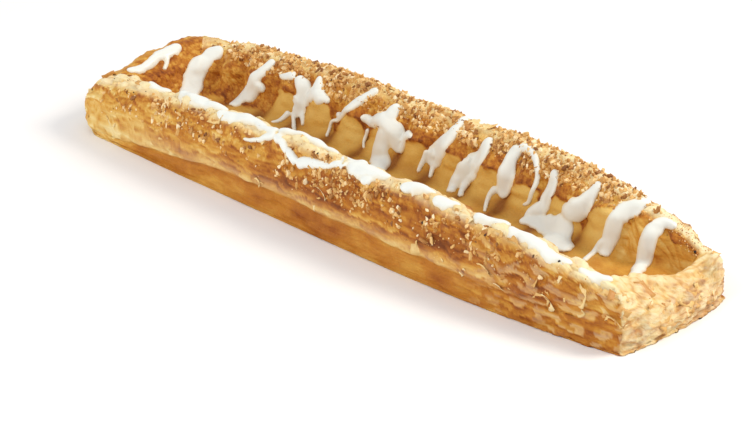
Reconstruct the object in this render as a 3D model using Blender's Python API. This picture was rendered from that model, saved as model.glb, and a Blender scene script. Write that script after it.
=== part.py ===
"""Danish pastry strip: one long iced and nut-topped pastry, shaped like a shallow trough.

Two folded-up flaps of flaky dough run along the long sides. Their rims carry chopped nuts and
slope in to a row of soft lobes and a low floor. A low wall closes either end. White icing was
drizzled across the strip in passes, ran down the far lobes and pooled near the right end.

Frame: +X along the length, +Y across it to the taller-looking far flap, +Z up, with the origin at
the middle of the flat underside. The near right corner of the photograph is at +X, -Y.
"""
import math
import random
from typing import NamedTuple

import bmesh
import bpy
from mathutils import Euler, Vector, noise
from mathutils.bvhtree import BVHTree

MM = 0.001

# Overall form, in millimetres
LENGTH = 397.0
HALF_WIDTH = 54.5
RIM_HEIGHT = 44.7
BAND_HEIGHT = 15.5
LOW_WALL = 30.0
LOWEST_BAND = 0.4
LEFT_CORNER_RADIUS = 16.0
RIGHT_CORNER_RADIUS = 3.0

# How far and how suddenly the width and the two rims fall toward either end
LEFT_TAPER, LEFT_TAPER_POWER = 0.06, 3.8
RIGHT_TAPER, RIGHT_TAPER_POWER = 0.24, 2.9
NEAR_RIM_DROP = {"left": (0.37, 3.4), "right": (0.43, 3.4)}
FAR_RIM_DROP = {"left": (0.22, 2.4), "right": (0.75, 5.9)}
NEAR_TO_FAR = (-38.0, 4.0)

# The ends stand out a little at their middle
LEFT_BULGE, RIGHT_BULGE = 1.0, 3.6

# Both walls grow thin toward the far right corner
THIN_ROWS = (7.0, 9.0)
THIN_FAR_WALL, THIN_FAR_ALONG = 0.45, (135.0, 185.0)
THIN_END_WALL, THIN_END_ACROSS = 0.42, (-0.4, 0.9)

# The smooth band under the flap thins out toward the left end
THIN_BAND, THIN_BAND_ALONG = 0.72, (50.0, 175.0)
THIN_BAND_LAST_ROW = 6.0

# The rolled corner left standing at the far right end
POST_HEIGHT = 10.0
POST_X, POST_Y, POST_SPREAD = 197.0, 37.0, 7.5

# Points round the outline of the mesh
SIDE_STEPS = 54
END_STEPS = 10

# Soft lobes down the inside of both flaps
LOBE_PITCH = 26.0
LOBE_CENTRE = 5.0
LOBE_SHIFT, LOBE_UNEVENNESS = 0.2, 37.0
LOBE_DEPTH = 5.0
LOBE_ROWS = (12.6, 17.4)
LOBE_END = 172.0

# Unevenness of a hand-folded, baked dough
OUTLINE_WOBBLE, OUTLINE_WAVELENGTH = 1.3, 46.0
FLAKE_RELIEF, FLAKE_WAVELENGTH = 0.7, 11.0
RIM_WOBBLE, RIM_WAVELENGTH = 1.5, 30.0

# Icing runs: sides of the flattened strand, its height as a share of its half-width
STRAND_SIDES = 5
STRAND_WIDTH = 1.2
STRAND_FLATNESS = 0.62
MOST_PROUD = 2.3
STRAND_STEP = 7.6
STRAND_END = 0.6
SLOPE_STEP = 2.0

# Chopped nuts on the rims and on the upper part of the outer walls
NUT_COUNT = 78
NUT_RADIUS = (1.3, 2.3)
NUT_SUNK = 0.25
NUT_SPACING = 5.0
NUT_ROWS = (8.0, 14.0)

MERGE = 0.00002
DOUGH_COLOUR = (0.55, 0.30, 0.11, 1.0)
DOUGH_ROUGHNESS = 0.6

SEED = 7


# Every strand of icing from its top to its foot: x, y and half-width at places along it
Strand = tuple[tuple[float, float, float], ...]

FAR_STRANDS: tuple[Strand, ...] = (
    # Wide run over the left end, and a thin drip below it
    ((-185, 18, 3.4), (-185, 11, 4.2), (-184, 1, 3.6),
     (-182, -8, 3.0), (-181, -18, 2.8), (-183, -25, 2.2)),
    ((-184, 8, 1.6), (-180, 3, 1.4), (-177, -2, 1.4)),
    # Broad even run
    ((-166, 35, 5.0), (-169, 29, 5.6), (-171, 23, 5.8), (-171, 18, 5.8),
     (-170, 15, 6.0), (-167, 9, 5.4), (-161, -6, 5.4)),
    # Run that steps sideways half-way down
    ((-120, 35, 2.8), (-123, 28, 3.8), (-126, 23, 4.0),
     (-128, 22, 5.6), (-134, 20, 5.0), (-134, 12, 3.4)),
    ((-118, 24, 2.0), (-124, 23, 3.4), (-129, 21, 4.0)),
    # Patch with two arms and three thin feet
    ((-111, 30, 1.4), (-105, 29, 2.2), (-98, 31, 3.2)),
    ((-97, 31, 3.2), (-90, 29, 4.4), (-87, 28, 6.0), (-89, 25, 4.8), (-93, 23, 3.2)),
    ((-81, 34, 2.2), (-79, 30, 3.0), (-76, 26, 4.4)),
    ((-65, 26, 1.6), (-72, 25, 4.2), (-87, 28, 5.0)),
    ((-94, 22, 2.2), (-97, 18, 1.5), (-100, 12, 1.2)),
    ((-92, 23, 1.8), (-89, 20, 1.4), (-82, 14, 1.2)),
    ((-88, 26, 2.4), (-83, 22, 1.8), (-80, 19, 1.4)),
    # Run that turns left, with a long thread below it
    ((-38, 38, 2.4), (-42, 34, 2.8), (-46, 29, 3.0), (-50, 25, 2.8), (-60, 27, 1.6)),
    ((-51, 25, 2.1), (-59, 25, 1.3), (-62, 23, 1.1), (-60, 18, 1.0)),
    # Large patch that reaches the floor, with a thread beside it
    ((-19, 34, 3.2), (-19, 29, 4.4), (-19, 25, 5.4)),
    ((-40, 25, 1.6), (-36, 28, 2.6), (-21, 24, 5.4), (-13, 24, 5.4), (-5, 25, 3.4), (3, 22, 1.4)),
    ((-18, 22, 5.4), (-20, 21, 5.6), (-19, 19, 5.6), (-15, 16, 5.2), (-10, 8, 4.6)),
    ((-34, 26, 1.8), (-36, 24, 1.1), (-32, 20, 1.0)),
    # Run with two thin feet
    ((25, 42, 2.2), (25, 34, 3.0), (24, 29, 4.2), (21, 26, 5.6), (14, 25, 3.0)),
    ((13, 24, 2.0), (11, 21, 1.4), (11, 18, 1.1)),
    ((18, 27, 2.9), (17, 24, 1.6), (19, 19, 1.3)),
    # Broad run with two feet
    ((48, 36, 2.6), (48, 31, 3.4), (47, 28, 5.6), (42, 27, 6.2),
     (38, 23, 4.2), (36, 20, 3.0), (37, 14, 2.2)),
    ((46, 26, 4.2), (42, 25, 2.6), (42, 20, 1.9), (45, 15, 1.6)),
    # Run with a thin left foot and a loop on its right
    ((67, 36, 3.6), (66, 31, 3.6), (67, 28, 3.8), (67, 25, 5.6), (68, 24, 3.8), (69, 22, 1.8)),
    ((64, 23, 2.6), (61, 21, 1.5), (61, 18, 1.2), (66, 11, 1.0)),
    ((67, 36, 3.0), (74, 36, 2.4), (81, 33, 1.9), (87, 28, 1.6),
     (89, 24, 1.4), (88, 21, 1.2), (84, 20, 1.0)),
    # Run into the pool, the pool on the floor, and its right arm
    ((94, 32, 2.0), (97, 30, 2.8), (98, 27, 3.8), (97, 25, 4.4), (94, 22, 3.6), (88, 17, 2.6)),
    ((87, 14, 2.5), (93, 17, 3.6), (103, 18, 5.5), (112, 17, 7.0), (119, 17, 5.0)),
    ((107, 15, 6.0), (116, 12, 7.0), (126, 6, 4.0)),
    ((106, 0, 5.0), (115, -2, 6.6), (123, -4, 5.0)),
    ((123, 34, 1.6), (123, 30, 3.0), (121, 27, 4.2), (118, 23, 5.6), (114, 20, 7.0)),
    # Broad run with a thin left foot
    ((151, 39, 2.6), (148, 32, 3.8), (144, 28, 4.8), (142, 24, 5.0),
     (141, 21, 4.6), (141, 19, 3.8), (142, 14, 2.6)),
    ((140, 19, 2.6), (136, 16, 1.9), (138, 4, 1.6)),
    # Last clean run at the right end
    ((170, 36, 2.0), (163, 34, 3.4), (161, 28, 4.0), (161, 24, 3.8),
     (161, 21, 3.6), (164, 13, 3.2), (168, 4, 2.6), (171, -3, 2.0)),
)

NEAR_STRANDS: tuple[Strand, ...] = (
    # Dabs and threads left along the top of the near rim, from left to right
    ((-146, -38, 2.6), (-138, -38, 3.8), (-129, -36, 2.6)),
    ((-116, -39, 3.0), (-104, -41, 5.0), (-94, -41, 4.0), (-84, -40, 2.4), (-77, -39, 2.2)),
    ((-79, -45, 2.6), (-70, -43, 5.4), (-61, -41, 4.4),
     (-52, -40, 2.6), (-45, -42, 2.6), (-34, -42, 3.0)),
    ((-54, -49, 1.0), (-42, -47, 1.5), (-33, -44, 2.8)),
    ((-33, -44, 3.2), (-23, -47, 1.9), (-12, -49, 3.0)),
    ((-34, -41, 2.4), (-20, -38, 2.4), (-8, -38, 3.4), (2, -38, 2.4), (9, -39, 2.0)),
    ((-12, -49, 3.2), (-2, -48, 2.8), (10, -48, 1.8), (22, -45, 2.6)),
    ((14, -42, 3.6), (22, -40, 5.0), (30, -39, 3.4)),
    ((22, -44, 4.6), (34, -43, 6.0), (42, -41, 3.8), (48, -40, 2.2)),
    ((34, -48, 2.4), (41, -46, 2.8)),
    ((60, -46, 2.4), (65, -42, 4.8), (72, -40, 3.4), (78, -39, 2.2)),
    ((81, -45, 2.6), (86, -41, 4.8), (93, -37, 2.4)),
    ((104, -40, 3.0), (111, -38, 4.4), (119, -36, 4.2), (124, -36, 3.0)),
    ((125, -38, 3.4), (134, -37, 4.6), (142, -36, 4.6), (150, -38, 3.0)),
    ((146, -39, 3.4), (152, -37, 5.2), (158, -35, 3.6), (162, -34, 2.0)),
    ((166, -35, 2.4), (173, -33, 4.8), (179, -31, 4.2), (183, -30, 2.6)),
)


class ProfileRow(NamedTuple):
    """One line round the pastry, from the middle of its underside to the middle of its floor."""

    side_inset: float
    left_inset: float
    right_inset: float
    lift: float
    wall_share: float


PROFILE = (
    ProfileRow(54.5, 60.0, 60.0, 0.0, 0.0),  # middle of the underside
    ProfileRow(4.0, 9.0, 4.0, 0.0, 0.0),  # edge of the flat underside
    ProfileRow(1.4, 6.0, 1.6, 1.4, 0.0),  # smooth dark band
    ProfileRow(0.8, 2.6, 1.0, 6.0, 0.0),
    ProfileRow(1.6, 0.6, 0.8, 11.5, 0.0),
    ProfileRow(2.2, 0.3, 0.9, 13.0, 0.0),  # crease over the band
    ProfileRow(0.6, -0.6, 0.4, 15.2, 0.0),  # ragged lower edge of the flap
    ProfileRow(0.4, -1.0, 0.6, 15.5, 0.25),  # outer wall
    ProfileRow(2.6, 0.6, 2.6, 15.5, 0.55),
    ProfileRow(6.5, 3.4, 6.0, 15.5, 0.82),
    ProfileRow(10.0, 6.8, 10.5, 15.5, 0.96),
    ProfileRow(13.5, 10.6, 15.5, 15.5, 1.0),  # rim
    ProfileRow(17.5, 14.0, 19.0, 15.5, 0.94),  # nut crust, sloping in
    ProfileRow(22.0, 17.5, 21.0, 15.5, 0.80),
    ProfileRow(26.0, 20.5, 22.4, 15.5, 0.62),  # tops of the lobes
    ProfileRow(28.5, 23.5, 23.6, 15.5, 0.48),
    ProfileRow(31.5, 27.0, 25.0, 13.5, 0.20),  # feet of the lobes
    ProfileRow(36.5, 32.0, 28.5, 11.5, 0.06),  # floor
    ProfileRow(44.0, 45.0, 44.0, 11.0, 0.04),
    ProfileRow(54.5, 60.0, 60.0, 11.0, 0.04),  # middle of the floor
)


def smooth_step(value: float, start: float, end: float) -> float:
    """Ease from 0 at start to 1 at end."""
    share = min(max((value - start) / (end - start), 0.0), 1.0)
    return share * share * (3.0 - 2.0 * share)


def profile_at(position: float) -> ProfileRow:
    """Give the profile row at a whole or part position, on a smooth curve through the rows."""
    last = len(PROFILE) - 1
    index = min(max(int(position), 0), last - 1)
    share = position - index
    before = PROFILE[max(index - 1, 0)]
    start, end = PROFILE[index], PROFILE[index + 1]
    after = PROFILE[min(index + 2, last)]
    values = (
        0.5
        * (
            2 * b
            + (c - a) * share
            + (2 * a - 5 * b + 4 * c - d) * share**2
            + (3 * b - a - 3 * c + d) * share**3
        )
        for a, b, c, d in zip(before, start, end, after)
    )
    return ProfileRow(*values)


def width_share(x: float) -> float:
    """Give the share of the full width left at a place along the length."""
    share = abs(x) / (LENGTH / 2)
    if x < 0:
        return 1.0 - LEFT_TAPER * share**LEFT_TAPER_POWER
    return 1.0 - RIGHT_TAPER * share**RIGHT_TAPER_POWER


def rim_height(x: float, y: float) -> float:
    """Give the height of the rim at a place on the plan."""
    end = "left" if x < 0 else "right"
    share = abs(x) / (LENGTH / 2)
    near_drop, near_power = NEAR_RIM_DROP[end]
    far_drop, far_power = FAR_RIM_DROP[end]
    near = RIM_HEIGHT * (1.0 - near_drop * share**near_power)
    far = RIM_HEIGHT * (1.0 - far_drop * share**far_power)
    across = smooth_step(y, *NEAR_TO_FAR)
    post_distance = math.hypot(x - POST_X, y - POST_Y) / POST_SPREAD
    post = POST_HEIGHT * math.exp(-(post_distance**2))
    return near + (far - near) * across + post


def ripple(x: float, y: float, z: float, wavelength: float, offset: float) -> float:
    """Give smooth seeded unevenness between about -1 and 1."""
    place = Vector((x, y, z)) / wavelength
    return 2.0 * noise.noise(place + Vector((offset, SEED, -offset)))


def outline_point(index: int) -> tuple[float, float]:
    """Give a place on the edge of a square of half-side 1, counted from its near left corner."""
    corners = ((-1, -1, 1, 0, SIDE_STEPS), (1, -1, 0, 1, END_STEPS),
               (1, 1, -1, 0, SIDE_STEPS), (-1, 1, 0, -1, END_STEPS))
    for start_x, start_y, along_x, along_y, steps in corners:
        if index < steps:
            walked = 2.0 * index / steps
            return start_x + along_x * walked, start_y + along_y * walked
        index -= steps
    return -1.0, -1.0


def surface_point(along: float, across: float, position: float) -> Vector:
    """Give a place on the pastry from a place on the outline square and on the profile."""
    row = profile_at(position)
    end_inset = row.left_inset
    if along >= 0.0:
        thin = THIN_END_WALL * smooth_step(across, *THIN_END_ACROSS)
        end_inset = row.right_inset * (1.0 - thin * smooth_step(position, *THIN_ROWS))
    half_length = LENGTH / 2 - end_inset
    half_width = max(HALF_WIDTH - row.side_inset, 0.0)
    x, y = along * half_length, across * half_width
    radius = LEFT_CORNER_RADIUS if along < 0 else RIGHT_CORNER_RADIUS
    radius = min(radius, 0.9 * half_width)
    corner_x = half_length - radius
    corner_y = half_width - radius
    past_x, past_y = abs(x) - corner_x, abs(y) - corner_y
    if radius > 0 and past_x > 0 and past_y > 0:
        reach = math.hypot(past_x, past_y)
        x = math.copysign(corner_x + past_x / reach * radius, x)
        y = math.copysign(corner_y + past_y / reach * radius, y)
    bulge = LEFT_BULGE if along < 0 else RIGHT_BULGE
    if abs(along) > 0.999:
        x += math.copysign(bulge * (1.0 - across * across), along)
    if across > 0.0:
        thin = THIN_FAR_WALL * smooth_step(x, *THIN_FAR_ALONG) * smooth_step(position, *THIN_ROWS)
        y += across * thin * row.side_inset
    y *= width_share(x)
    rim = rim_height(x, y)
    if row.wall_share > 0.3:
        rim += RIM_WOBBLE * ripple(x, y, 0.0, RIM_WAVELENGTH, 3.0)
    low = max(min(rim / LOW_WALL, 1.0), LOWEST_BAND)
    if position <= THIN_BAND_LAST_ROW:
        low *= 1.0 - THIN_BAND * smooth_step(-x, *THIN_BAND_ALONG)
    z = row.lift * low + row.wall_share * (rim - BAND_HEIGHT * low)
    return Vector((x, y, z))


def lobe_bulge(x: float, position: float) -> float:
    """Give how far a lobe stands out of the inner wall, in millimetres."""
    first, last = LOBE_ROWS
    if not first < position < last or abs(x) > LOBE_END:
        return 0.0
    down = math.sin(math.pi * (position - first) / (last - first))
    bend = noise.noise(Vector((x / LOBE_UNEVENNESS, SEED, 0.0)))
    phase = (x - LOBE_CENTRE) / LOBE_PITCH + 0.5 + LOBE_SHIFT * bend
    wave = abs(math.sin(math.pi * phase))
    return LOBE_DEPTH * down * (wave - 0.4) * (1.0 - smooth_step(abs(x), LOBE_END - 12, LOBE_END))


def pastry_point(along: float, across: float, position: float) -> Vector:
    """Give a place on the finished dough, with its lobes and unevenness."""
    place = surface_point(along, across, position)
    x, y, z = place
    if position <= 1.0:
        return place
    inward = -math.copysign(1.0, across)
    if abs(across) > 0.999:
        bulge = lobe_bulge(x, position)
        place.y += inward * bulge
        place.z += 0.5 * bulge
    fade = smooth_step(position, 1.0, 3.0) * (1.0 - smooth_step(position, 16.0, 18.0))
    outline = OUTLINE_WOBBLE * ripple(x, y, 0.0, OUTLINE_WAVELENGTH, 11.0)
    flakes = FLAKE_RELIEF * ripple(x, y, 3.0 * z, FLAKE_WAVELENGTH, 23.0)
    if abs(across) > 0.999:
        place.y -= inward * fade * (outline + flakes)
    else:
        place.x += math.copysign(1.0, along) * fade * (flakes - abs(outline) * 0.5)
    return place


def make_dough() -> bpy.types.Object:
    """Shape the dough from a ball whose rings become the lines of the profile."""
    segments = 2 * (SIDE_STEPS + END_STEPS)
    rings = len(PROFILE) - 1
    bpy.ops.mesh.primitive_uv_sphere_add(segments=segments, ring_count=rings, radius=1.0)
    dough = bpy.context.object
    dough.name = "pastry_strip"
    for vertex in dough.data.vertices:
        x, y, z = vertex.co
        turn = math.atan2(y, x) % math.tau
        index = round(turn / math.tau * segments) % segments
        polar = math.acos(max(min(z / vertex.co.length, 1.0), -1.0))
        position = rings - polar / math.pi * rings
        at_pole = round(position) in (0, rings)
        along, across = (0.0, 0.0) if at_pole else outline_point(index)
        vertex.co = pastry_point(along, across, round(position)) * MM
    return dough


def drop_on(tree: BVHTree, x: float, y: float) -> tuple[Vector, Vector]:
    """Find the place on the dough under a place on the plan, and the slope's normal there."""
    down = Vector((0.0, 0.0, -1.0))
    heights = {}
    for step_x, step_y in ((0, 0), (-1, 0), (1, 0), (0, -1), (0, 1)):
        above = Vector((x + step_x * SLOPE_STEP, y + step_y * SLOPE_STEP, 2 * RIM_HEIGHT)) * MM
        heights[step_x, step_y] = tree.ray_cast(above, down)[0].z
    place = Vector((x * MM, y * MM, heights[0, 0]))
    rise_x = heights[1, 0] - heights[-1, 0]
    rise_y = heights[0, 1] - heights[0, -1]
    normal = Vector((-rise_x, -rise_y, 2 * SLOPE_STEP * MM)).normalized()
    return place, normal


def make_strand_section() -> bpy.types.Object:
    """Make the flattened round that every icing strand is swept along."""
    bpy.ops.curve.primitive_bezier_circle_add(radius=1.0)
    section = bpy.context.object
    section.data.splines.clear()
    spline = section.data.splines.new("POLY")
    spline.points.add(STRAND_SIDES - 1)
    for index, point in enumerate(spline.points):
        turn = math.tau * (index / STRAND_SIDES + 0.25)
        across, up = math.cos(turn) * STRAND_WIDTH, math.sin(turn) * STRAND_FLATNESS
        point.co = (across * MM, up * MM, 0.0, 1.0)
    spline.use_cyclic_u = True
    return section


def drape(strand: Strand, tree: BVHTree) -> list[tuple[Vector, Vector, float]]:
    """Lay a strand on the dough and give evenly spaced places, normals and half-widths along it."""
    fine = []
    walked = 0.0
    for (from_x, from_y, from_half), (to_x, to_y, to_half) in zip(strand, strand[1:]):
        steps = math.ceil(math.hypot(to_x - from_x, to_y - from_y))
        for index in range(steps + 1):
            share = index / steps
            x = from_x + (to_x - from_x) * share
            y = from_y + (to_y - from_y) * share
            place, normal = drop_on(tree, x, y)
            if fine:
                walked += (place - fine[-1][1]).length / MM
            fine.append((walked, place, normal, from_half + (to_half - from_half) * share))
    count = max(round(walked / STRAND_STEP), 2)
    path = []
    for index in range(count + 1):
        aim = walked * index / count
        _, place, normal, half = min(fine, key=lambda step: abs(step[0] - aim))
        path.append((place.copy(), normal, half))
    return path


def make_icing(strand: Strand, tree: BVHTree, section: bpy.types.Object) -> bpy.types.Object:
    """Drape one strand of icing over the dough, half sunk in it."""
    curve = bpy.data.curves.new("icing_strand", "CURVE")
    curve.dimensions = "3D"
    curve.twist_mode = "Z_UP"
    curve.bevel_mode = "OBJECT"
    curve.bevel_object = section
    curve.use_fill_caps = True
    spline = curve.splines.new("POLY")
    path = drape(strand, tree)
    spline.points.add(len(path) - 1)
    for index, (point, (place, normal, half)) in enumerate(zip(spline.points, path)):
        if index in (0, len(path) - 1):
            half *= STRAND_END
        height = STRAND_FLATNESS * half
        place -= normal * (height - min(0.85 * height, MOST_PROUD)) * MM
        point.co = (*place, 1.0)
        point.radius = half
    holder = bpy.data.objects.new("icing_strand", curve)
    bpy.context.scene.collection.objects.link(holder)
    bpy.context.view_layer.update()
    swept = holder.evaluated_get(bpy.context.evaluated_depsgraph_get())
    mesh = bpy.data.meshes.new_from_object(swept)
    bpy.data.objects.remove(holder)
    shell = bmesh.new()
    shell.from_mesh(mesh)
    bmesh.ops.remove_doubles(shell, verts=shell.verts, dist=MERGE)
    bmesh.ops.recalc_face_normals(shell, faces=shell.faces)
    shell.to_mesh(mesh)
    shell.free()
    return bpy.data.objects.new("icing_strand", mesh)


def make_nut(place: Vector, normal: Vector, chance: random.Random) -> bpy.types.Object:
    """Make one chopped piece of nut, sunk a little into the crust."""
    radius = chance.uniform(*NUT_RADIUS)
    piece = bmesh.new()
    bmesh.ops.create_icosphere(piece, subdivisions=1, radius=radius * MM)
    for vertex in piece.verts:
        vertex.co *= chance.uniform(0.75, 1.15)
    stretch = Vector((chance.uniform(0.9, 1.4), chance.uniform(0.7, 1.0), chance.uniform(0.6, 0.9)))
    bmesh.ops.scale(piece, vec=stretch, verts=piece.verts)
    turn = Euler([chance.uniform(0.0, math.tau) for _ in range(3)]).to_matrix()
    bmesh.ops.rotate(piece, matrix=turn, verts=piece.verts)
    bmesh.ops.translate(piece, vec=place - normal * NUT_SUNK * radius * MM, verts=piece.verts)
    mesh = bpy.data.meshes.new("nut")
    piece.to_mesh(mesh)
    piece.free()
    return bpy.data.objects.new("nut", mesh)


def scatter_nuts(tree: BVHTree) -> list[bpy.types.Object]:
    """Spread chopped nuts over both rims, thickest along the middle of the strip."""
    chance = random.Random(SEED)
    taken: list[Vector] = []
    nuts = []
    while len(nuts) < NUT_COUNT:
        along = chance.gauss(0.0, 0.5)
        if abs(along) > 0.9:
            continue
        side = chance.choice((-1.0, 1.0))
        aim = pastry_point(along, side, chance.uniform(*NUT_ROWS)) * MM
        place, normal, _, _ = tree.find_nearest(aim)
        if any((place - other).length < NUT_SPACING * MM for other in taken):
            continue
        taken.append(place)
        nuts.append(make_nut(place, normal, chance))
    return nuts


def fuse(body: bpy.types.Object, toppings: list[bpy.types.Object]) -> None:
    """Join the toppings to the dough as one closed solid."""
    tray = bpy.data.collections.new("toppings")
    bpy.context.scene.collection.children.link(tray)
    for topping in toppings:
        tray.objects.link(topping)
    union = body.modifiers.new("fuse", "BOOLEAN")
    union.operation = "UNION"
    union.operand_type = "COLLECTION"
    union.collection = tray
    union.solver = "MANIFOLD"
    bpy.ops.object.select_all(action="DESELECT")
    bpy.context.view_layer.objects.active = body
    body.select_set(True)
    bpy.ops.object.modifier_apply(modifier=union.name)
    for topping in toppings:
        bpy.data.objects.remove(topping)
    bpy.data.collections.remove(tray)


def keep_largest(body: bpy.types.Object) -> None:
    """Drop loose scraps, flat flaps and sealed hollows, keeping the one large closed surface."""
    shell = bmesh.new()
    shell.from_mesh(body.data)
    bmesh.ops.triangulate(shell, faces=shell.faces)
    waiting = set(shell.faces)
    largest: set = set()
    while waiting:
        front = [waiting.pop()]
        island = set(front)
        while front:
            face = front.pop()
            for edge in face.edges:
                if len(edge.link_faces) != 2:
                    continue
                for other in edge.link_faces:
                    if other in waiting:
                        waiting.discard(other)
                        island.add(other)
                        front.append(other)
        if len(island) > len(largest):
            largest = island
    loose = [face for face in shell.faces if face not in largest]
    bmesh.ops.delete(shell, geom=loose, context="FACES")
    shell.to_mesh(body.data)
    shell.free()


def give_material(body: bpy.types.Object) -> None:
    """Give the baked dough its own colour."""
    dough = bpy.data.materials.new("pastry_dough")
    dough.use_nodes = True
    shader = dough.node_tree.nodes["Principled BSDF"]
    shader.inputs["Base Color"].default_value = DOUGH_COLOUR
    shader.inputs["Roughness"].default_value = DOUGH_ROUGHNESS
    body.data.materials.clear()
    body.data.materials.append(dough)


for old in list(bpy.data.objects):
    bpy.data.objects.remove(old)
pastry = make_dough()
crust = bmesh.new()
crust.from_mesh(pastry.data)
crust_tree = BVHTree.FromBMesh(crust)
crust.free()
strand_section = make_strand_section()
icing = [make_icing(strand, crust_tree, strand_section) for strand in FAR_STRANDS + NEAR_STRANDS]
bpy.data.objects.remove(strand_section)
fuse(pastry, icing + scatter_nuts(crust_tree))
keep_largest(pastry)
give_material(pastry)
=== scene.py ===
"""Looks of a danish pastry strip: baked flaky dough, chopped nuts, loose flakes and white icing."""
import logging
import math
import random
from dataclasses import astuple, dataclass, field
from enum import Enum
from itertools import product

import bmesh
import bpy
import numpy as np
from mathutils import Euler, Matrix, Vector, noise
from mathutils.bvhtree import BVHTree


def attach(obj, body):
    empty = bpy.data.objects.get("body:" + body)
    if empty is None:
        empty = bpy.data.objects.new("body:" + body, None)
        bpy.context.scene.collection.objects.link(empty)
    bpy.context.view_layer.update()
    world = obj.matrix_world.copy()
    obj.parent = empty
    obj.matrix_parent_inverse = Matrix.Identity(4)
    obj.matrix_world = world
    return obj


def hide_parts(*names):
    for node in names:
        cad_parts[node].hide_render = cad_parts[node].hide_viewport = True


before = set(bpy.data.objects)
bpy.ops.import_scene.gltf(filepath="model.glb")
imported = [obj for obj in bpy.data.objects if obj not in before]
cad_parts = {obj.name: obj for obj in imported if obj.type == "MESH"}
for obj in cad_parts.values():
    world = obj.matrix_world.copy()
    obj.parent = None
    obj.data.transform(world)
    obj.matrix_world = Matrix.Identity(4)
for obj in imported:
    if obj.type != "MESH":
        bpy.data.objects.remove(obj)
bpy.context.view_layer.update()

MM = 0.001
NODE = "pastry_strip"
BODY = "root"
IMAGE_WIDTH = 752
SENSOR_WIDTH = 36.0

log = logging.getLogger("danish_strip")


class Slot(Enum):
    """Material slots of the record."""

    DOUGH = "pastry_dough"
    ICING = "white_icing"
    NUTS = "chopped_nuts"


def srgb(code: str) -> tuple[float, float, float, float]:
    """Turn a hex colour as seen on screen into a linear one.

    Args:
        code: Six hex digits after a hash.

    Returns:
        Red, green, blue and alpha in linear light.
    """
    channels = (int(code[start:start + 2], 16) / 255 for start in (1, 3, 5))
    linear = (c / 12.92 if c <= 0.04045 else ((c + 0.055) / 1.055) ** 2.4 for c in channels)
    return (*linear, 1.0)


def ease(value: np.ndarray, start: float, end: float) -> np.ndarray:
    """Ease from 0 at start to 1 at end.

    Args:
        value: Numbers of any shape.
        start: Where the rise begins.
        end: Where the rise ends.

    Returns:
        Shares between 0 and 1.
    """
    share = np.clip((value - start) / (end - start), 0.0, 1.0)
    return share * share * (3.0 - 2.0 * share)


def chance_at(cell: np.ndarray, seed: int) -> np.ndarray:
    """Give each whole-numbered cell its own seeded number.

    Args:
        cell: Whole numbers in the last axis.
        seed: Number that picks the pattern.

    Returns:
        Values between 0 and 1.
    """
    code = cell[..., 0] * 73856093 ^ cell[..., 1] * 19349663 ^ cell[..., 2] * 83492791
    code = (code ^ (seed * 2654435761)) & 0xFFFFFFFF
    code = (code ^ (code >> 15)) * 2246822519 & 0xFFFFFFFF
    code = (code ^ (code >> 13)) * 3266489917 & 0xFFFFFFFF
    return (code ^ (code >> 16)) / 0xFFFFFFFF


def grain(points: np.ndarray, size: tuple[float, float, float], seed: int) -> np.ndarray:
    """Give smooth seeded noise.

    Args:
        points: Places in millimetres, in the last axis.
        size: Width of one lump along each axis, in millimetres.
        seed: Number that picks the pattern.

    Returns:
        Values between -1 and 1.
    """
    scaled = points / np.asarray(size) + seed * 13.37
    base = np.floor(scaled)
    share = scaled - base
    share = share * share * (3.0 - 2.0 * share)
    total = np.zeros(points.shape[:-1])
    for corner in product((0, 1), repeat=3):
        weight = np.prod(np.where(np.asarray(corner), share, 1.0 - share), axis=-1)
        total += weight * chance_at((base + np.asarray(corner)).astype(np.int64), seed)
    return total * 2.0 - 1.0


@dataclass
class Cells:
    """Uneven cells that fill space, as crumbs or broken leaves do."""

    nearest: np.ndarray
    second: np.ndarray
    number: np.ndarray
    lean: np.ndarray

    @classmethod
    def fill(cls, points: np.ndarray, size: tuple[float, float, float], seed: int) -> "Cells":
        """Find the cell that each point is in.

        Args:
            points: Places in millimetres, in the last axis.
            size: Usual width of a cell along each axis, in millimetres.
            seed: Number that picks the pattern.

        Returns:
            Distances to the two nearest centres, the cell's own number, and the way from its centre.
        """
        scaled = points / np.asarray(size) + seed * 7.31
        base = np.floor(scaled).astype(np.int64)
        shape = points.shape[:-1]
        found = cls(np.full(shape, 9.0), np.full(shape, 9.0), np.zeros(shape), np.zeros(points.shape))
        for corner in product((-1, 0, 1), repeat=3):
            cell = base + np.asarray(corner)
            jitter = np.stack([chance_at(cell, seed + axis) for axis in range(3)], -1)
            away = scaled - cell - jitter
            distance = np.linalg.norm(away, axis=-1)
            closer = distance < found.nearest
            found.second = np.where(closer, found.nearest, np.minimum(found.second, distance))
            found.number = np.where(closer, chance_at(cell, seed + 9), found.number)
            found.lean = np.where(closer[..., None], away, found.lean)
            found.nearest = np.where(closer, distance, found.nearest)
        return found

    def gap(self) -> np.ndarray:
        """Give 1 at the line between two cells and 0 well inside a cell."""
        return 1.0 - ease(self.second - self.nearest, 0.02, 0.28)

    def dome(self) -> np.ndarray:
        """Give rounded crumbs of different heights, 0 to 1."""
        return np.clip(1.0 - (self.nearest / 0.8) ** 2, 0.0, 1.0) * (0.3 + 0.7 * self.number)

    def shingle(self) -> np.ndarray:
        """Give flat leaves at different heights, each tilted a little, -1 to 1."""
        return ((self.number - 0.5) * 1.5 + 0.7 * self.lean[..., 2]) * (1.0 - self.gap())


def ripple(points: np.ndarray, wavelength: float, offset: float, seed: int) -> np.ndarray:
    """Give the same smooth unevenness that the solid dough has.

    Args:
        points: Places in millimetres, in the last axis.
        wavelength: Size of one ripple in millimetres.
        offset: Shift that sets one kind of unevenness apart from another.
        seed: Seed of the dough.

    Returns:
        Values between about -1 and 1.
    """
    shift = Vector((offset, seed, -offset))
    flat = points.reshape(-1, 3) / wavelength
    values = [2.0 * noise.noise(Vector(place) + shift) for place in flat]
    return np.asarray(values).reshape(points.shape[:-1])


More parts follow.
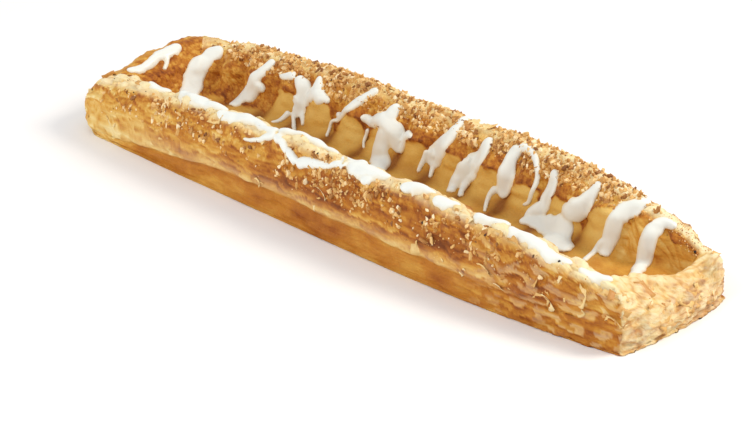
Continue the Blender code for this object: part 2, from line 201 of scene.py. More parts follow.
def soften(values: np.ndarray, times: int) -> np.ndarray:
    """Even out a row of values, keeping both ends.

    Args:
        values: Numbers or points, one after another along the first axis.
        times: How often each is averaged with its neighbours.

    Returns:
        The softened values.
    """
    soft = values.copy()
    for _ in range(times):
        soft[1:-1] = 0.25 * soft[:-2] + 0.5 * soft[1:-1] + 0.25 * soft[2:]
    return soft


def deselect() -> None:
    """Leave edit mode and deselect everything."""
    if bpy.context.object and bpy.context.object.mode != "OBJECT":
        bpy.ops.object.mode_set(mode="OBJECT")
    bpy.ops.object.select_all(action="DESELECT")


def pick(piece: bpy.types.Object) -> None:
    """Make one piece the only selected and active one."""
    deselect()
    piece.select_set(True)
    bpy.context.view_layer.objects.active = piece


def apply_modifiers(piece: bpy.types.Object) -> None:
    """Apply a piece's modifiers in order."""
    pick(piece)
    for modifier in list(piece.modifiers):
        bpy.ops.object.modifier_apply(modifier=modifier.name)


def dress(piece: bpy.types.Object, material: bpy.types.Material) -> None:
    """Give a finished piece its material and tie it to the frame.

    Args:
        piece: The finished mesh.
        material: Its finish.
    """
    piece.data.materials.clear()
    piece.data.materials.append(material)
    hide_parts(NODE)
    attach(piece, BODY)
    log.info("%s: %d vertices", piece.name, len(piece.data.vertices))


@dataclass(frozen=True)
class ProfileRow:
    """One line round the pastry, from the middle of its underside to the middle of its floor."""

    side_inset: float
    left_inset: float
    right_inset: float
    lift: float
    wall_share: float


PROFILE = (
    ProfileRow(54.5, 60.0, 60.0, 0.0, 0.0),  # middle of the underside
    ProfileRow(4.0, 9.0, 4.0, 0.0, 0.0),  # edge of the flat underside
    ProfileRow(1.4, 6.0, 1.6, 1.4, 0.0),  # smooth dark band
    ProfileRow(0.8, 2.6, 1.0, 6.0, 0.0),
    ProfileRow(1.6, 0.6, 0.8, 11.5, 0.0),
    ProfileRow(2.2, 0.3, 0.9, 13.0, 0.0),  # crease over the band
    ProfileRow(0.6, -0.6, 0.4, 15.2, 0.0),  # ragged lower edge of the flap
    ProfileRow(0.4, -1.0, 0.6, 15.5, 0.25),  # outer wall
    ProfileRow(2.6, 0.6, 2.6, 15.5, 0.55),
    ProfileRow(6.5, 3.4, 6.0, 15.5, 0.82),
    ProfileRow(10.0, 6.8, 10.5, 15.5, 0.96),
    ProfileRow(13.5, 10.6, 15.5, 15.5, 1.0),  # rim
    ProfileRow(17.5, 14.0, 19.0, 15.5, 0.94),  # nut crust, sloping in
    ProfileRow(22.0, 17.5, 21.0, 15.5, 0.80),
    ProfileRow(26.0, 20.5, 22.4, 15.5, 0.62),  # tops of the lobes
    ProfileRow(28.5, 23.5, 23.6, 15.5, 0.48),
    ProfileRow(31.5, 27.0, 25.0, 13.5, 0.20),  # feet of the lobes
    ProfileRow(36.5, 32.0, 28.5, 11.5, 0.06),  # floor
    ProfileRow(44.0, 45.0, 44.0, 11.0, 0.04),
    ProfileRow(54.5, 60.0, 60.0, 11.0, 0.04),  # middle of the floor
)
EDGE, MIDDLE = 1.0, 19.0
ON_SIDE = 0.999


@dataclass(frozen=True)
class DoughForm:
    """Smooth form of the folded dough, with the same named sizes as the solid, in millimetres."""

    length: float = 397.0
    half_width: float = 54.5
    rim_height: float = 44.7
    band_height: float = 15.5
    low_wall: float = 30.0
    lowest_band: float = 0.4
    corner_radii: tuple[float, float] = (16.0, 3.0)
    tapers: tuple[tuple[float, float], tuple[float, float]] = ((0.06, 3.8), (0.24, 2.9))
    near_drops: tuple[tuple[float, float], tuple[float, float]] = ((0.37, 3.4), (0.43, 3.4))
    far_drops: tuple[tuple[float, float], tuple[float, float]] = ((0.22, 2.4), (0.75, 5.9))
    thin_rows: tuple[float, float] = (7.0, 9.0)
    thin_far_wall: tuple[float, float, float] = (0.45, 135.0, 185.0)
    thin_end_wall: tuple[float, float, float] = (0.42, -0.4, 0.9)
    thin_band: tuple[float, float, float] = (0.72, 50.0, 175.0)
    near_to_far: tuple[float, float] = (-38.0, 4.0)
    bulges: tuple[float, float] = (1.0, 3.6)
    post: tuple[float, float, float, float] = (197.0, 37.0, 7.5, 10.0)
    lobe_pitch: float = 26.0
    lobe_centre: float = 5.0
    lobe_depth: float = 5.0
    lobe_rows: tuple[float, float] = (12.6, 17.4)
    lobe_end: float = 172.0
    rim_wobble: tuple[float, float] = (1.5, 30.0)
    outline_wobble: tuple[float, float] = (1.3, 46.0)
    flake_relief: tuple[float, float] = (0.7, 11.0)
    seed: int = 7

    def row(self, position: np.ndarray) -> np.ndarray:
        """Give profile rows on a smooth curve.

        Args:
            position: Places along the profile.

        Returns:
            Side, left and right inset, lift and wall share in the last axis.
        """
        table = np.array([astuple(row) for row in PROFILE])
        last = len(table) - 1
        index = np.clip(position.astype(int), 0, last - 1)
        share = (position - index)[..., None]
        a, b = table[np.maximum(index - 1, 0)], table[index]
        c, d = table[index + 1], table[np.minimum(index + 2, last)]
        return 0.5 * (
            2 * b
            + (c - a) * share
            + (2 * a - 5 * b + 4 * c - d) * share**2
            + (3 * b - a - 3 * c + d) * share**3
        )

    def fall(self, x: np.ndarray, pair: tuple[tuple[float, float], tuple[float, float]]) -> np.ndarray:
        """Give the share left of a size that falls toward both ends.

        Args:
            x: Places along the length.
            pair: How far and how suddenly it falls, at the left and the right.

        Returns:
            Shares of the full size.
        """
        share = np.abs(x) / (self.length / 2)
        (left, left_power), (right, right_power) = pair
        return 1.0 - np.where(x < 0, left * share**left_power, right * share**right_power)

    def rim(self, x: np.ndarray, y: np.ndarray) -> np.ndarray:
        """Give the height of the rim on the plan."""
        near = self.rim_height * self.fall(x, self.near_drops)
        far = self.rim_height * self.fall(x, self.far_drops)
        post_x, post_y, spread, height = self.post
        reach = np.hypot(x - post_x, y - post_y) / spread
        return near + (far - near) * ease(y, *self.near_to_far) + height * np.exp(-(reach**2))

    def lobe_wave(self, x: np.ndarray) -> np.ndarray:
        """Give 1 at the middle of each lobe and 0 between two of them."""
        bend = np.array([noise.noise(Vector((value / 37.0, self.seed, 0.0))) for value in x.flat])
        phase = (x - self.lobe_centre) / self.lobe_pitch + 0.5 + 0.2 * bend.reshape(x.shape)
        return np.abs(np.sin(math.pi * phase))

    def place(self, along: np.ndarray, across: np.ndarray, position: np.ndarray) -> np.ndarray:
        """Give places on the dough before its fine relief.

        Args:
            along: Place along the outline square, -1 to 1.
            across: Place across the outline square, -1 to 1.
            position: Place along the profile.

        Returns:
            Points in millimetres, in the last axis.
        """
        along, across, position = np.broadcast_arrays(along, across, position)
        side_inset, left_inset, right_inset, lift, wall_share = np.moveaxis(self.row(position), -1, 0)
        thin_rows = ease(position, *self.thin_rows)
        amount, start, end = self.thin_end_wall
        right_inset = right_inset * (1.0 - amount * ease(across, start, end) * thin_rows)
        half_length = self.length / 2 - np.where(along < 0, left_inset, right_inset)
        half_width = np.maximum(self.half_width - side_inset, 0.0)
        x, y = along * half_length, across * half_width
        radius = np.where(along < 0, *self.corner_radii)
        radius = np.minimum(radius, 0.9 * half_width)
        past_x, past_y = np.abs(x) - half_length + radius, np.abs(y) - half_width + radius
        rounded = (radius > 0) & (past_x > 0) & (past_y > 0)
        reach = np.where(rounded, np.hypot(past_x, past_y), 1.0)
        x = np.where(rounded, np.copysign(half_length - radius + past_x / reach * radius, x), x)
        y = np.where(rounded, np.copysign(half_width - radius + past_y / reach * radius, y), y)
        bulge = np.where(along < 0, *self.bulges) * (1.0 - across * across)
        x = np.where(np.abs(along) > ON_SIDE, x + np.copysign(bulge, along), x)
        amount, start, end = self.thin_far_wall
        thin = amount * ease(x, start, end) * thin_rows
        y = np.where(across > 0.0, y + across * thin * side_inset, y)
        y = y * self.fall(x, self.tapers)
        rim = self.rim(x, y)
        plan = np.stack([x, y, np.zeros_like(x)], -1)
        amount, wavelength = self.rim_wobble
        rim = rim + np.where(wall_share > 0.3, amount, 0.0) * ripple(plan, wavelength, 3.0, self.seed)
        low = np.clip(rim / self.low_wall, self.lowest_band, 1.0)
        amount, start, end = self.thin_band
        low = low * (1.0 - amount * ease(-x, start, end) * (1.0 - ease(position, 6.0, 7.0)))
        z = lift * low + wall_share * (rim - self.band_height * low)
        return self.uneven(np.stack([x, y, z], -1), along, across, position)

    def uneven(
        self, place: np.ndarray, along: np.ndarray, across: np.ndarray, position: np.ndarray
    ) -> np.ndarray:
        """Add the lobes and the large unevenness of the solid.

        Args:
            place: Points in millimetres.
            along: Their place along the outline square.
            across: Their place across the outline square.
            position: Their place along the profile.

        Returns:
            The moved points.
        """
        x, y = place[..., 0], place[..., 1]
        first, last = self.lobe_rows
        on_side = np.abs(across) > ON_SIDE
        down = np.sin(math.pi * np.clip((position - first) / (last - first), 0.0, 1.0))
        fade_out = 1.0 - ease(np.abs(x), self.lobe_end - 12.0, self.lobe_end)
        bulge = self.lobe_depth * down * (self.lobe_wave(x) - 0.4) * fade_out * on_side
        inward = -np.copysign(1.0, across)
        fade = ease(position, 1.0, 3.0) * (1.0 - ease(position, 16.0, 18.0))
        plan = np.stack([x, y, np.zeros_like(x)], -1)
        amount, wavelength = self.outline_wobble
        outline = amount * ripple(plan, wavelength, 11.0, self.seed)
        amount, wavelength = self.flake_relief
        flakes = amount * ripple(place * (1.0, 1.0, 3.0), wavelength, 23.0, self.seed)
        moved = place.copy()
        moved[..., 1] += inward * bulge - np.where(on_side, inward * fade * (outline + flakes), 0.0)
        moved[..., 2] += 0.5 * bulge
        end_move = np.copysign(1.0, along) * fade * (flakes - np.abs(outline) * 0.5)
        moved[..., 0] += np.where(on_side, 0.0, end_move)
        return np.where(position[..., None] > EDGE, moved, place)


@dataclass
class Zones:
    """Kinds of dough over the net, each as a share between 0 and 1."""

    band: np.ndarray
    flap_edge: np.ndarray
    outer: np.ndarray
    upper: np.ndarray
    near_crest: np.ndarray
    far_crest: np.ndarray
    crust: np.ndarray
    lip: np.ndarray
    inside: np.ndarray
    filling: np.ndarray
    floor: np.ndarray
    right: np.ndarray
    left: np.ndarray
    end_face: np.ndarray
    wave: np.ndarray

    @classmethod
    def find(
        cls, form: DoughForm, place: np.ndarray, position: np.ndarray, along: np.ndarray, across: np.ndarray
    ) -> "Zones":
        """Work out the zones from where each point is.

        Args:
            form: The smooth dough.
            place: Points of the net in millimetres.
            position: Their place along the profile.
            along: Their place along the outline square.
            across: Their place across the outline square.

        Returns:
            The zones.
        """
        x = place[..., 0]
        side, far = np.abs(across) > ON_SIDE, across > ON_SIDE
        right_end = (along > ON_SIDE) & ~side
        right, left = ease(x, 80.0, 150.0), ease(-x, 120.0, 188.0)
        wave = form.lobe_wave(x)
        lip_at = 15.1 + 1.3 * (1.0 - wave) ** 2 + 0.22 * grain(place, (4.0,) * 3, 8)
        lip_at = lip_at + 1.9 * far * ease(-x, 104.0, 125.0) - 2.0 * ease(x, 114.0, 152.0)
        lip_at = np.where(side, lip_at, np.where(along < 0, 16.8, 12.9))
        inside = ease(position - lip_at, -0.06, 0.16)
        rim_side = 1.0 - ease(position, 10.2, 11.2)
        band = ease(position, 1.0, 2.0) * (1.0 - ease(position, 4.6, 5.4)) * (1.0 - right) * (1.0 - left)
        outer = ease(position, 5.4, 6.4) * rim_side
        outer = np.maximum(outer, ease(position, 0.2, 0.9) * rim_side * np.maximum(right, left))
        crest = ease(position, 8.8, 9.8) * (1.0 - ease(position, 13.6, 14.6))
        near_crest = crest * (across < -ON_SIDE)
        outer = outer * (1.0 - 0.85 * near_crest)
        crust = ease(position, 10.8, 11.8) * (1.0 - inside) * ~right_end
        crust = crust * np.where(far | ~side, 1.0, ease(position, 14.0, 15.0))
        return cls(
            band=band,
            flap_edge=np.exp(-(((position - 6.1) / 0.55) ** 2)) * (1.0 - right) * (1.0 - left),
            outer=outer,
            upper=outer * ease(position, 7.2, 8.8),
            near_crest=near_crest,
            far_crest=ease(position, 9.6, 10.8) * (1.0 - ease(position, 12.0, 13.0)) * far,
            crust=crust,
            lip=crust * np.exp(-(((position - lip_at) / 0.26) ** 2)) * side,
            inside=inside,
            filling=inside * side * (1.0 - ease(np.abs(x), 132.0, 150.0)),
            floor=ease(position, 16.6, 17.4),
            right=right,
            left=left,
            end_face=right_end * (1.0 - inside) * ease(position, 0.2, 0.8),
            wave=wave,
        )


@dataclass
class Patterns:
    """Patterns over the net that relief and colours share: smooth grain, and cells of five sizes."""

    layers: np.ndarray
    lumps: np.ndarray
    coarse: np.ndarray
    patches: np.ndarray
    leaves: Cells
    chips: Cells
    pillows: Cells
    swirls: Cells
    crumbs: Cells


@dataclass
class DoughSurface:
    """Fine net of points over the whole dough, with its relief and the marks for its colours."""

    form: DoughForm = field(default_factory=DoughForm)
    side_steps: int = 400
    end_steps: int = 62
    ring_spacing: float = 1.1
    sunk_back: float = 0.5
    leaf_size: tuple[float, float, float] = (15.0, 15.0, 4.2)
    chip_size: tuple[float, float, float] = (6.5, 6.5, 2.6)
    pillow_size: tuple[float, float, float] = (11.0, 9.0, 8.0)
    swirl_size: tuple[float, float, float] = (5.5, 7.0, 6.0)
    crumb_size: tuple[float, float, float] = (3.0, 3.0, 3.0)

    def __post_init__(self) -> None:
        """Lay the net and work out the smooth form, the relief and the colour marks."""
        self.along, self.across = self.outline()
        self.positions = self.even_positions()
        position = np.repeat(self.positions[:, None], len(self.along), 1)
        texture = self.form.place(self.along[None, :], self.across[None, :], position)
        warp = 0.35 * grain(texture, (17.0, 17.0, 60.0), 31) + 0.2 * grain(texture, (6.0, 6.0, 60.0), 32)
        near_crease = np.exp(-(((position - 5.6) / 1.1) ** 2))
        self.position = position + warp * near_crease
        self.smooth = self.form.place(self.along[None, :], self.across[None, :], self.position)
        self.normal = self.normals(self.smooth)
        self.arc = self.arcs()
        self.zones = Zones.find(
            self.form, self.smooth, self.position, self.along[None, :], self.across[None, :])
        made = self.patterns()
        self.relief = self.heights(made)
        self.marks = self.colour_marks(made)
        self.points = self.smooth + self.normal * self.relief[..., None]
        self.points[..., 2] = np.maximum(self.points[..., 2], 0.0)

    def outline(self) -> tuple[np.ndarray, np.ndarray]:
        """Give the net's columns as places round the outline square."""
        side = np.linspace(-1.0, 1.0, self.side_steps, endpoint=False)
        end = np.linspace(-1.0, 1.0, self.end_steps, endpoint=False)
        along = np.concatenate([side, np.ones_like(end), -side, -np.ones_like(end)])
        across = np.concatenate([-np.ones_like(side), end, np.ones_like(side), -end])
        return along, across

    def floor_strip(self) -> list[tuple[int, int, int]]:
        """Fill the slit that the last row leaves, with triangles between its near and far edges.

        Returns:
            Triangles as columns of the last row, from the middle of the left end to the far right corner.
        """
        total = len(self.along)
        left_tip, right_tip = total - self.end_steps // 2, self.side_steps + self.end_steps
        near = [(left_tip + step) % total for step in range((right_tip - left_tip) % total + 1)]
        far = [(left_tip - step) % total for step in range((left_tip - right_tip) % total + 1)]
        edge = self.points[-1]
        triangles, i, j = [], 0, 0
        while i < len(near) - 1 or j < len(far) - 1:
            near_gap = np.linalg.norm(edge[near[i + 1]] - edge[far[j]]) if i < len(near) - 1 else math.inf
            far_gap = np.linalg.norm(edge[near[i]] - edge[far[j + 1]]) if j < len(far) - 1 else math.inf
            if near_gap <= far_gap:
                corners = (near[i], near[i + 1], far[j])
                i += 1
            else:
                corners = (near[i], far[j + 1], far[j])
                j += 1
            if len(set(corners)) == 3:
                triangles.append(corners)
        return triangles

    def even_positions(self) -> np.ndarray:
        """Space the net's rows evenly over the surface, from the bottom edge to the middle."""
        fine = np.linspace(EDGE, MIDDLE, 1801)
        section = self.form.place(np.zeros(1), -np.ones(1), fine[:, None])[:, 0]
        steps = np.linalg.norm(np.diff(section[:, 1:], axis=0), axis=1)
        walked = np.concatenate([[0.0], np.cumsum(steps)])
        rows = round(walked[-1] / self.ring_spacing)
        return np.interp(np.linspace(0.0, walked[-1], rows + 1), walked, fine)

    def normals(self, points: np.ndarray) -> np.ndarray:
        """Give outward normals of the net."""
        round_ = np.roll(points, -1, 1) - np.roll(points, 1, 1)
        up = np.gradient(points, axis=0)
        normal = np.cross(round_, up)
        length = np.linalg.norm(normal, axis=-1, keepdims=True)
        return normal / np.maximum(length, 1e-9)

    def arcs(self) -> np.ndarray:
        """Give the distance walked up from the bottom edge, in millimetres."""
        steps = np.linalg.norm(np.diff(self.smooth, axis=0), axis=-1)
        return np.concatenate([np.zeros((1, steps.shape[1])), np.cumsum(steps, 0)])

    def patterns(self) -> Patterns:
        """Make the patterns that both the relief and the colours follow."""
        place = self.smooth
        leaf = np.stack([place[..., 0], place[..., 1], self.arc], -1)
        layers = grain(leaf, (34.0, 34.0, 2.5), 1) + 0.6 * grain(leaf, (13.0, 13.0, 1.7), 2)
        lumps = grain(place, (17.0, 17.0, 12.0), 4) + 0.5 * grain(place, (8.0, 8.0, 6.0), 5)
        coarse = grain(place, (5.5, 5.5, 4.0), 11)
        patches = grain(place, (26.0, 26.0, 10.0), 9) + 0.5 * grain(place, (11.0, 11.0, 5.0), 10)
        bent = leaf + 2.2 * np.stack([coarse, coarse, grain(place, (9.0,) * 3, 12)], -1)
        leaves = Cells.fill(bent, self.leaf_size, 51)
        chips = Cells.fill(bent, self.chip_size, 61)
        pillows = Cells.fill(place, self.pillow_size, 81)
        swirls = Cells.fill(bent, self.swirl_size, 91)
        crumbs = Cells.fill(place, self.crumb_size, 71)
        return Patterns(layers, lumps, coarse, patches, leaves, chips, pillows, swirls, crumbs)

    def heights(self, made: Patterns) -> np.ndarray:
        """Work out the flaky relief.

        Args:
            made: The dough's patterns.

        Returns:
            Heights in millimetres.
        """
        position, zones = self.position, self.zones
        side = np.abs(self.across)[None, :] > ON_SIDE
        layers, lumps, coarse, patches = made.layers, made.lumps, made.coarse, made.patches
        leaves, chips, pillows = made.leaves, made.chips, made.pillows
        swirls, crumbs = made.swirls, made.crumbs
        relief = zones.band * (0.25 * layers + 0.3 * lumps + 0.3 * leaves.shingle())
        relief += zones.flap_edge * (0.7 * leaves.shingle() + 0.3 * layers)
        relief += zones.outer * (0.25 * (1.0 - 0.7 * zones.right) * layers + 0.8 * lumps + 0.5 * coarse)
        relief += zones.outer * 0.45 * crumbs.dome() * ease(patches, -0.9, 0.5)
        relief += zones.outer * (0.5 - 0.15 * zones.right) * leaves.shingle() * side
        relief += zones.outer * (0.35 + 0.2 * zones.right) * chips.shingle()
        relief += zones.upper * 0.8 * crumbs.dome() * ease(patches, -0.5, 0.3)
        relief += zones.near_crest * (2.5 * pillows.dome() - 0.8 * pillows.gap() + 0.35 * coarse)
        relief += zones.near_crest * (0.3 * leaves.shingle() + 0.45 * chips.shingle() - 0.9)
        relief += zones.far_crest * (0.6 * leaves.shingle() + 0.5 * chips.shingle() + 0.4 * lumps)
        relief += zones.crust * (1.0 * crumbs.dome() + 0.7 * lumps + 0.4 * coarse)
        relief += zones.lip * 0.9
        relief += zones.filling * (0.4 * lumps + 0.5 * coarse + 0.35 * crumbs.dome())
        folds = zones.inside * (1.0 - zones.filling) * (1.0 - zones.floor)
        relief += folds * (0.5 * lumps + 0.5 * leaves.shingle())
        relief += zones.floor * (0.3 * lumps + 0.2 * coarse)
        relief += zones.end_face * (0.8 * swirls.shingle() + 1.1 * pillows.dome() + 0.5 * chips.shingle())
        fill_crease = np.maximum(zones.right, zones.left) * side
        relief += 1.5 * np.exp(-(((position - 5.0) / 0.75) ** 2)) * fill_crease
        relief -= self.sunk_back * (1.0 - zones.inside) * ease(position, 0.1, 0.6)
        return relief

    def colour_marks(self, made: Patterns) -> np.ndarray:
        """Work out where the dough is browned, pale, crumbly or filling, with painted shade and a painted
        highlight in the brown and pale marks.

        Args:
            made: The dough's patterns.

        Returns:
            Four marks between 0 and 1 for each point.
        """
        position, zones, x = self.position, self.zones, self.smooth[..., 0]
        folds = zones.inside * (1.0 - zones.filling) * (1.0 - zones.floor)
        layers, lumps, coarse, patches = made.layers, made.lumps, made.coarse, made.patches
        leaves, chips, pillows = made.leaves, made.chips, made.pillows
        swirls, crumbs = made.swirls, made.crumbs
        low_wall = zones.outer * (1.0 - ease(position, 7.0, 8.8))
        toward_left = ease(-x, 10.0, 90.0)
        brown = 0.5 + 0.14 * patches + 0.07 * lumps + 0.05 * layers
        brown += 0.12 * zones.band - 0.2 * zones.flap_edge * (0.4 + leaves.number)
        brown += zones.outer * (0.15 + 0.08 * coarse) - 0.14 * low_wall * toward_left
        brown += 0.04 * low_wall * (1.0 - toward_left) - 0.3 * zones.outer * zones.left
        brown -= zones.outer * zones.right * (0.02 + 0.16 * ease(chips.number, 0.35, 1.0))
        brown -= 0.16 * zones.outer * ease(leaves.number, 0.66, 0.8) * (1.0 - zones.right)
        # Painted shade: each leaf and chip is darker toward its upper edge, as if under the layer above.
        brown += zones.outer * (0.22 * leaves.lean[..., 2] + 0.14 * chips.lean[..., 2])
        brown += (zones.outer + zones.far_crest) * 0.1 * leaves.gap()
        brown += zones.upper * 0.34 * (crumbs.number - 0.5)
        brown -= zones.near_crest * (0.44 - 0.3 * pillows.gap() - 0.12 * chips.gap())
        # Far crest paler, more so to the right: partly pale flaky crust, partly a painted highlight on the
        # lit top of the far rim.
        brown -= zones.far_crest * (0.3 + 0.34 * zones.right)
        brown += zones.crust * (0.12 * ease(position, 12.4, 15.2) - 0.03)
        brown += zones.crust * (0.34 * (crumbs.number - 0.5) + 0.14 * crumbs.gap())
        brown += 0.24 * zones.lip
        # The lean term is painted shade: each leaf is darker toward its upper edge.
        brown += folds * (0.14 * leaves.gap() - 0.16 * zones.right + 0.12 * leaves.lean[..., 2])
        # The lean term is painted shade: each swirl is darker toward its upper edge.
        brown -= zones.end_face * (0.3 - 0.16 * swirls.gap() - 0.14 * swirls.lean[..., 2])
        pale = zones.near_crest * (0.5 + 0.5 * pillows.number) + 0.25 * zones.flap_edge
        pale = pale + zones.end_face * (0.45 + 0.4 * swirls.number) * (1.0 - 0.6 * swirls.gap())
        pale = pale + zones.outer * zones.right * 0.3 * ease(chips.number, 0.6, 0.9)
        # Partly pale flaky crust, partly a painted highlight on the lit top of the far rim.
        pale = pale + zones.far_crest * (0.25 + 0.3 * leaves.number + 0.6 * zones.right)
        nutty = zones.crust + 0.6 * zones.upper * (1.0 - 0.6 * zones.right)
        # Painted shade: the filling is darker between the lobes and low in the trough, and lighter on the
        # lobe tops.
        painted_lobe_shade = 0.8 * (1.0 - zones.wave) ** 2 + 0.35 * ease(position, 15.8, 17.0)
        custard_and_shade = np.clip(0.14 + painted_lobe_shade + 0.2 * patches + 0.14 * lumps + 0.1 * coarse, 0.0, 1.0)
        brown = brown * (1.0 - zones.filling) + zones.filling * custard_and_shade
        return np.clip(np.stack([brown, pale, nutty, zones.filling], -1), 0.0, 1.0)


# Every run of icing from its top to its foot: x, y and half-width at places along it, in millimetres
Strand = tuple[tuple[float, float, float], ...]

FAR_STRANDS: tuple[Strand, ...] = (
    # Wide run over the left end, and a thin drip below it
    ((-185, 18, 3.4), (-185, 11, 4.2), (-184, 1, 3.6),
     (-182, -8, 3.0), (-181, -18, 2.8), (-183, -25, 2.2)),
    ((-184, 8, 1.6), (-180, 3, 1.4), (-177, -2, 1.4)),
    # Broad even run
    ((-166, 35, 5.0), (-169, 29, 5.6), (-171, 23, 5.8), (-171, 18, 5.8),
     (-170, 15, 6.0), (-167, 9, 5.4), (-161, -6, 5.4)),
    # Run that steps sideways half-way down
    ((-120, 35, 2.8), (-123, 28, 3.8), (-126, 23, 4.0),
     (-128, 22, 5.6), (-134, 20, 5.0), (-134, 12, 3.4)),
    ((-118, 24, 2.0), (-124, 23, 3.4), (-129, 21, 4.0)),
    # Patch with two arms and three thin feet
    ((-111, 30, 1.4), (-105, 29, 2.2), (-98, 31, 3.2)),
    ((-97, 31, 3.2), (-90, 29, 4.4), (-87, 28, 6.0), (-89, 25, 4.8), (-93, 23, 3.2)),
    ((-81, 34, 2.2), (-79, 30, 3.0), (-76, 26, 4.4)),
    ((-65, 26, 1.6), (-72, 25, 4.2), (-87, 28, 5.0)),
    ((-94, 22, 2.2), (-97, 18, 1.5), (-100, 12, 1.2)),
    ((-92, 23, 1.8), (-89, 20, 1.4), (-82, 14, 1.2)),
    ((-88, 26, 2.4), (-83, 22, 1.8), (-80, 19, 1.4)),
    # Run that turns left, with a long thread below it
    ((-38, 38, 2.4), (-42, 34, 2.8), (-46, 29, 3.0), (-50, 25, 2.8), (-60, 27, 1.6)),
    ((-51, 25, 2.1), (-59, 25, 1.3), (-62, 23, 1.1), (-60, 18, 1.0)),
    # Large patch that reaches the floor, with a thread beside it
    ((-19, 34, 3.2), (-19, 29, 4.4), (-19, 25, 5.4)),
    ((-40, 25, 1.6), (-36, 28, 2.6), (-21, 24, 5.4), (-13, 24, 5.4), (-5, 25, 3.4), (3, 22, 1.4)),
    ((-18, 22, 5.4), (-20, 21, 5.6), (-19, 19, 5.6), (-15, 16, 5.2), (-10, 8, 4.6)),
    ((-34, 26, 1.8), (-36, 24, 1.1), (-32, 20, 1.0)),
    # Run with two thin feet
    ((25, 42, 2.2), (25, 34, 3.0), (24, 29, 4.2), (21, 26, 5.6), (14, 25, 3.0)),
    ((13, 24, 2.0), (11, 21, 1.4), (11, 18, 1.1)),
    ((18, 27, 2.9), (17, 24, 1.6), (19, 19, 1.3)),
    # Broad run with two feet
    ((48, 36, 2.6), (48, 31, 3.4), (47, 28, 5.6), (42, 27, 6.2),
     (38, 23, 4.2), (36, 20, 3.0), (37, 14, 2.2)),
    ((46, 26, 4.2), (42, 25, 2.6), (42, 20, 1.9), (45, 15, 1.6)),
    # Run with a thin left foot and a loop on its right
    ((67, 36, 3.6), (66, 31, 3.6), (67, 28, 3.8), (67, 25, 5.6), (68, 24, 3.8), (69, 22, 1.8)),
    ((64, 23, 2.6), (61, 21, 1.5), (61, 18, 1.2), (66, 11, 1.0)),
    ((67, 36, 3.0), (74, 36, 2.4), (81, 33, 1.9), (87, 28, 1.6),
     (89, 24, 1.4), (88, 21, 1.2), (84, 20, 1.0)),
    # Run into the pool, the pool on the floor, and its right arm
    ((94, 32, 2.0), (97, 30, 2.8), (98, 27, 3.8), (97, 25, 4.4), (94, 22, 3.6), (88, 17, 2.6)),
    ((87, 14, 2.5), (93, 17, 3.6), (103, 18, 5.5), (112, 17, 7.0), (119, 17, 5.0)),
    ((107, 15, 6.0), (116, 12, 7.0), (126, 6, 4.0)),
    ((106, 0, 5.0), (115, -2, 6.6), (123, -4, 5.0)),
    ((123, 34, 1.6), (123, 30, 3.0), (121, 27, 4.2), (118, 23, 5.6), (114, 20, 7.0)),
    # Broad run with a thin left foot
    ((151, 39, 2.6), (148, 32, 3.8), (144, 28, 4.8), (142, 24, 5.0),
     (141, 21, 4.6), (141, 19, 3.8), (142, 14, 2.6)),
    ((140, 19, 2.6), (136, 16, 1.9), (138, 4, 1.6)),
    # Last clean run at the right end
    ((170, 36, 2.0), (163, 34, 3.4), (161, 28, 4.0), (161, 24, 3.8),
     (161, 21, 3.6), (164, 13, 3.2), (168, 4, 2.6), (171, -3, 2.0)),
)

NEAR_STRANDS: tuple[Strand, ...] = (
    # Dabs and threads left along the top of the near rim, from left to right
    ((-146, -38, 2.6), (-138, -38, 3.8), (-129, -36, 2.6)),
    ((-116, -39, 3.0), (-104, -41, 5.0), (-94, -41, 4.0), (-84, -40, 2.4), (-77, -39, 2.2)),
    ((-79, -45, 2.6), (-70, -43, 5.4), (-61, -41, 4.4),
     (-52, -40, 2.6), (-45, -42, 2.6), (-34, -42, 3.0)),
    ((-54, -49, 1.0), (-42, -47, 1.5), (-33, -44, 2.8)),
    ((-33, -44, 3.2), (-23, -47, 1.9), (-12, -49, 3.0)),
    ((-34, -41, 2.4), (-20, -38, 2.4), (-8, -38, 3.4), (2, -38, 2.4), (9, -39, 2.0)),
    ((-12, -49, 3.2), (-2, -48, 2.8), (10, -48, 1.8), (22, -45, 2.6)),
    ((14, -42, 3.6), (22, -40, 5.0), (30, -39, 3.4)),
    ((22, -44, 4.6), (34, -43, 6.0), (42, -41, 3.8), (48, -40, 2.2)),
    ((34, -48, 2.4), (41, -46, 2.8)),
    ((60, -46, 2.4), (65, -42, 4.8), (72, -40, 3.4), (78, -39, 2.2)),
    ((81, -45, 2.6), (86, -41, 4.8), (93, -37, 2.4)),
    ((104, -40, 3.0), (111, -38, 4.4), (119, -36, 4.2), (124, -36, 3.0)),
    ((125, -38, 3.4), (134, -37, 4.6), (142, -36, 4.6), (150, -38, 3.0)),
    ((146, -39, 3.4), (152, -37, 5.2), (158, -35, 3.6), (162, -34, 2.0)),
    ((166, -35, 2.4), (173, -33, 4.8), (179, -31, 4.2), (183, -30, 2.6)),
)


def node(
    tree: bpy.types.NodeTree, kind: str, settings: dict | None = None, links: dict | None = None
) -> bpy.types.Node:
    """Add one shader node.

    Args:
        tree: The material's node tree.
        kind: Blender's name for the node's type.
        settings: Attribute names, or input names and numbers, with their values.
        links: Input names or numbers with the output sockets that feed them.

    Returns:
        The new node.
    """
    added = tree.nodes.new(kind)
    for name, value in (settings or {}).items():
        if isinstance(name, str) and hasattr(added, name):
            setattr(added, name, value)
        else:
            added.inputs[name].default_value = value
    for name, socket in (links or {}).items():
        tree.links.new(socket, added.inputs[name])
    return added


def blank_material(name: str) -> tuple[bpy.types.Material, bpy.types.NodeTree, bpy.types.Node]:
    """Start a material with only its shader and output.

    Args:
        name: The real material's name.

    Returns:
        The material, its tree and its shader.
    """
    material = bpy.data.materials.new(name)
    material.use_nodes = True
    tree = material.node_tree
    tree.nodes.clear()
    shader = node(tree, "ShaderNodeBsdfPrincipled")
    node(tree, "ShaderNodeOutputMaterial", links={"Surface": shader.outputs["BSDF"]})
    return material, tree, shader


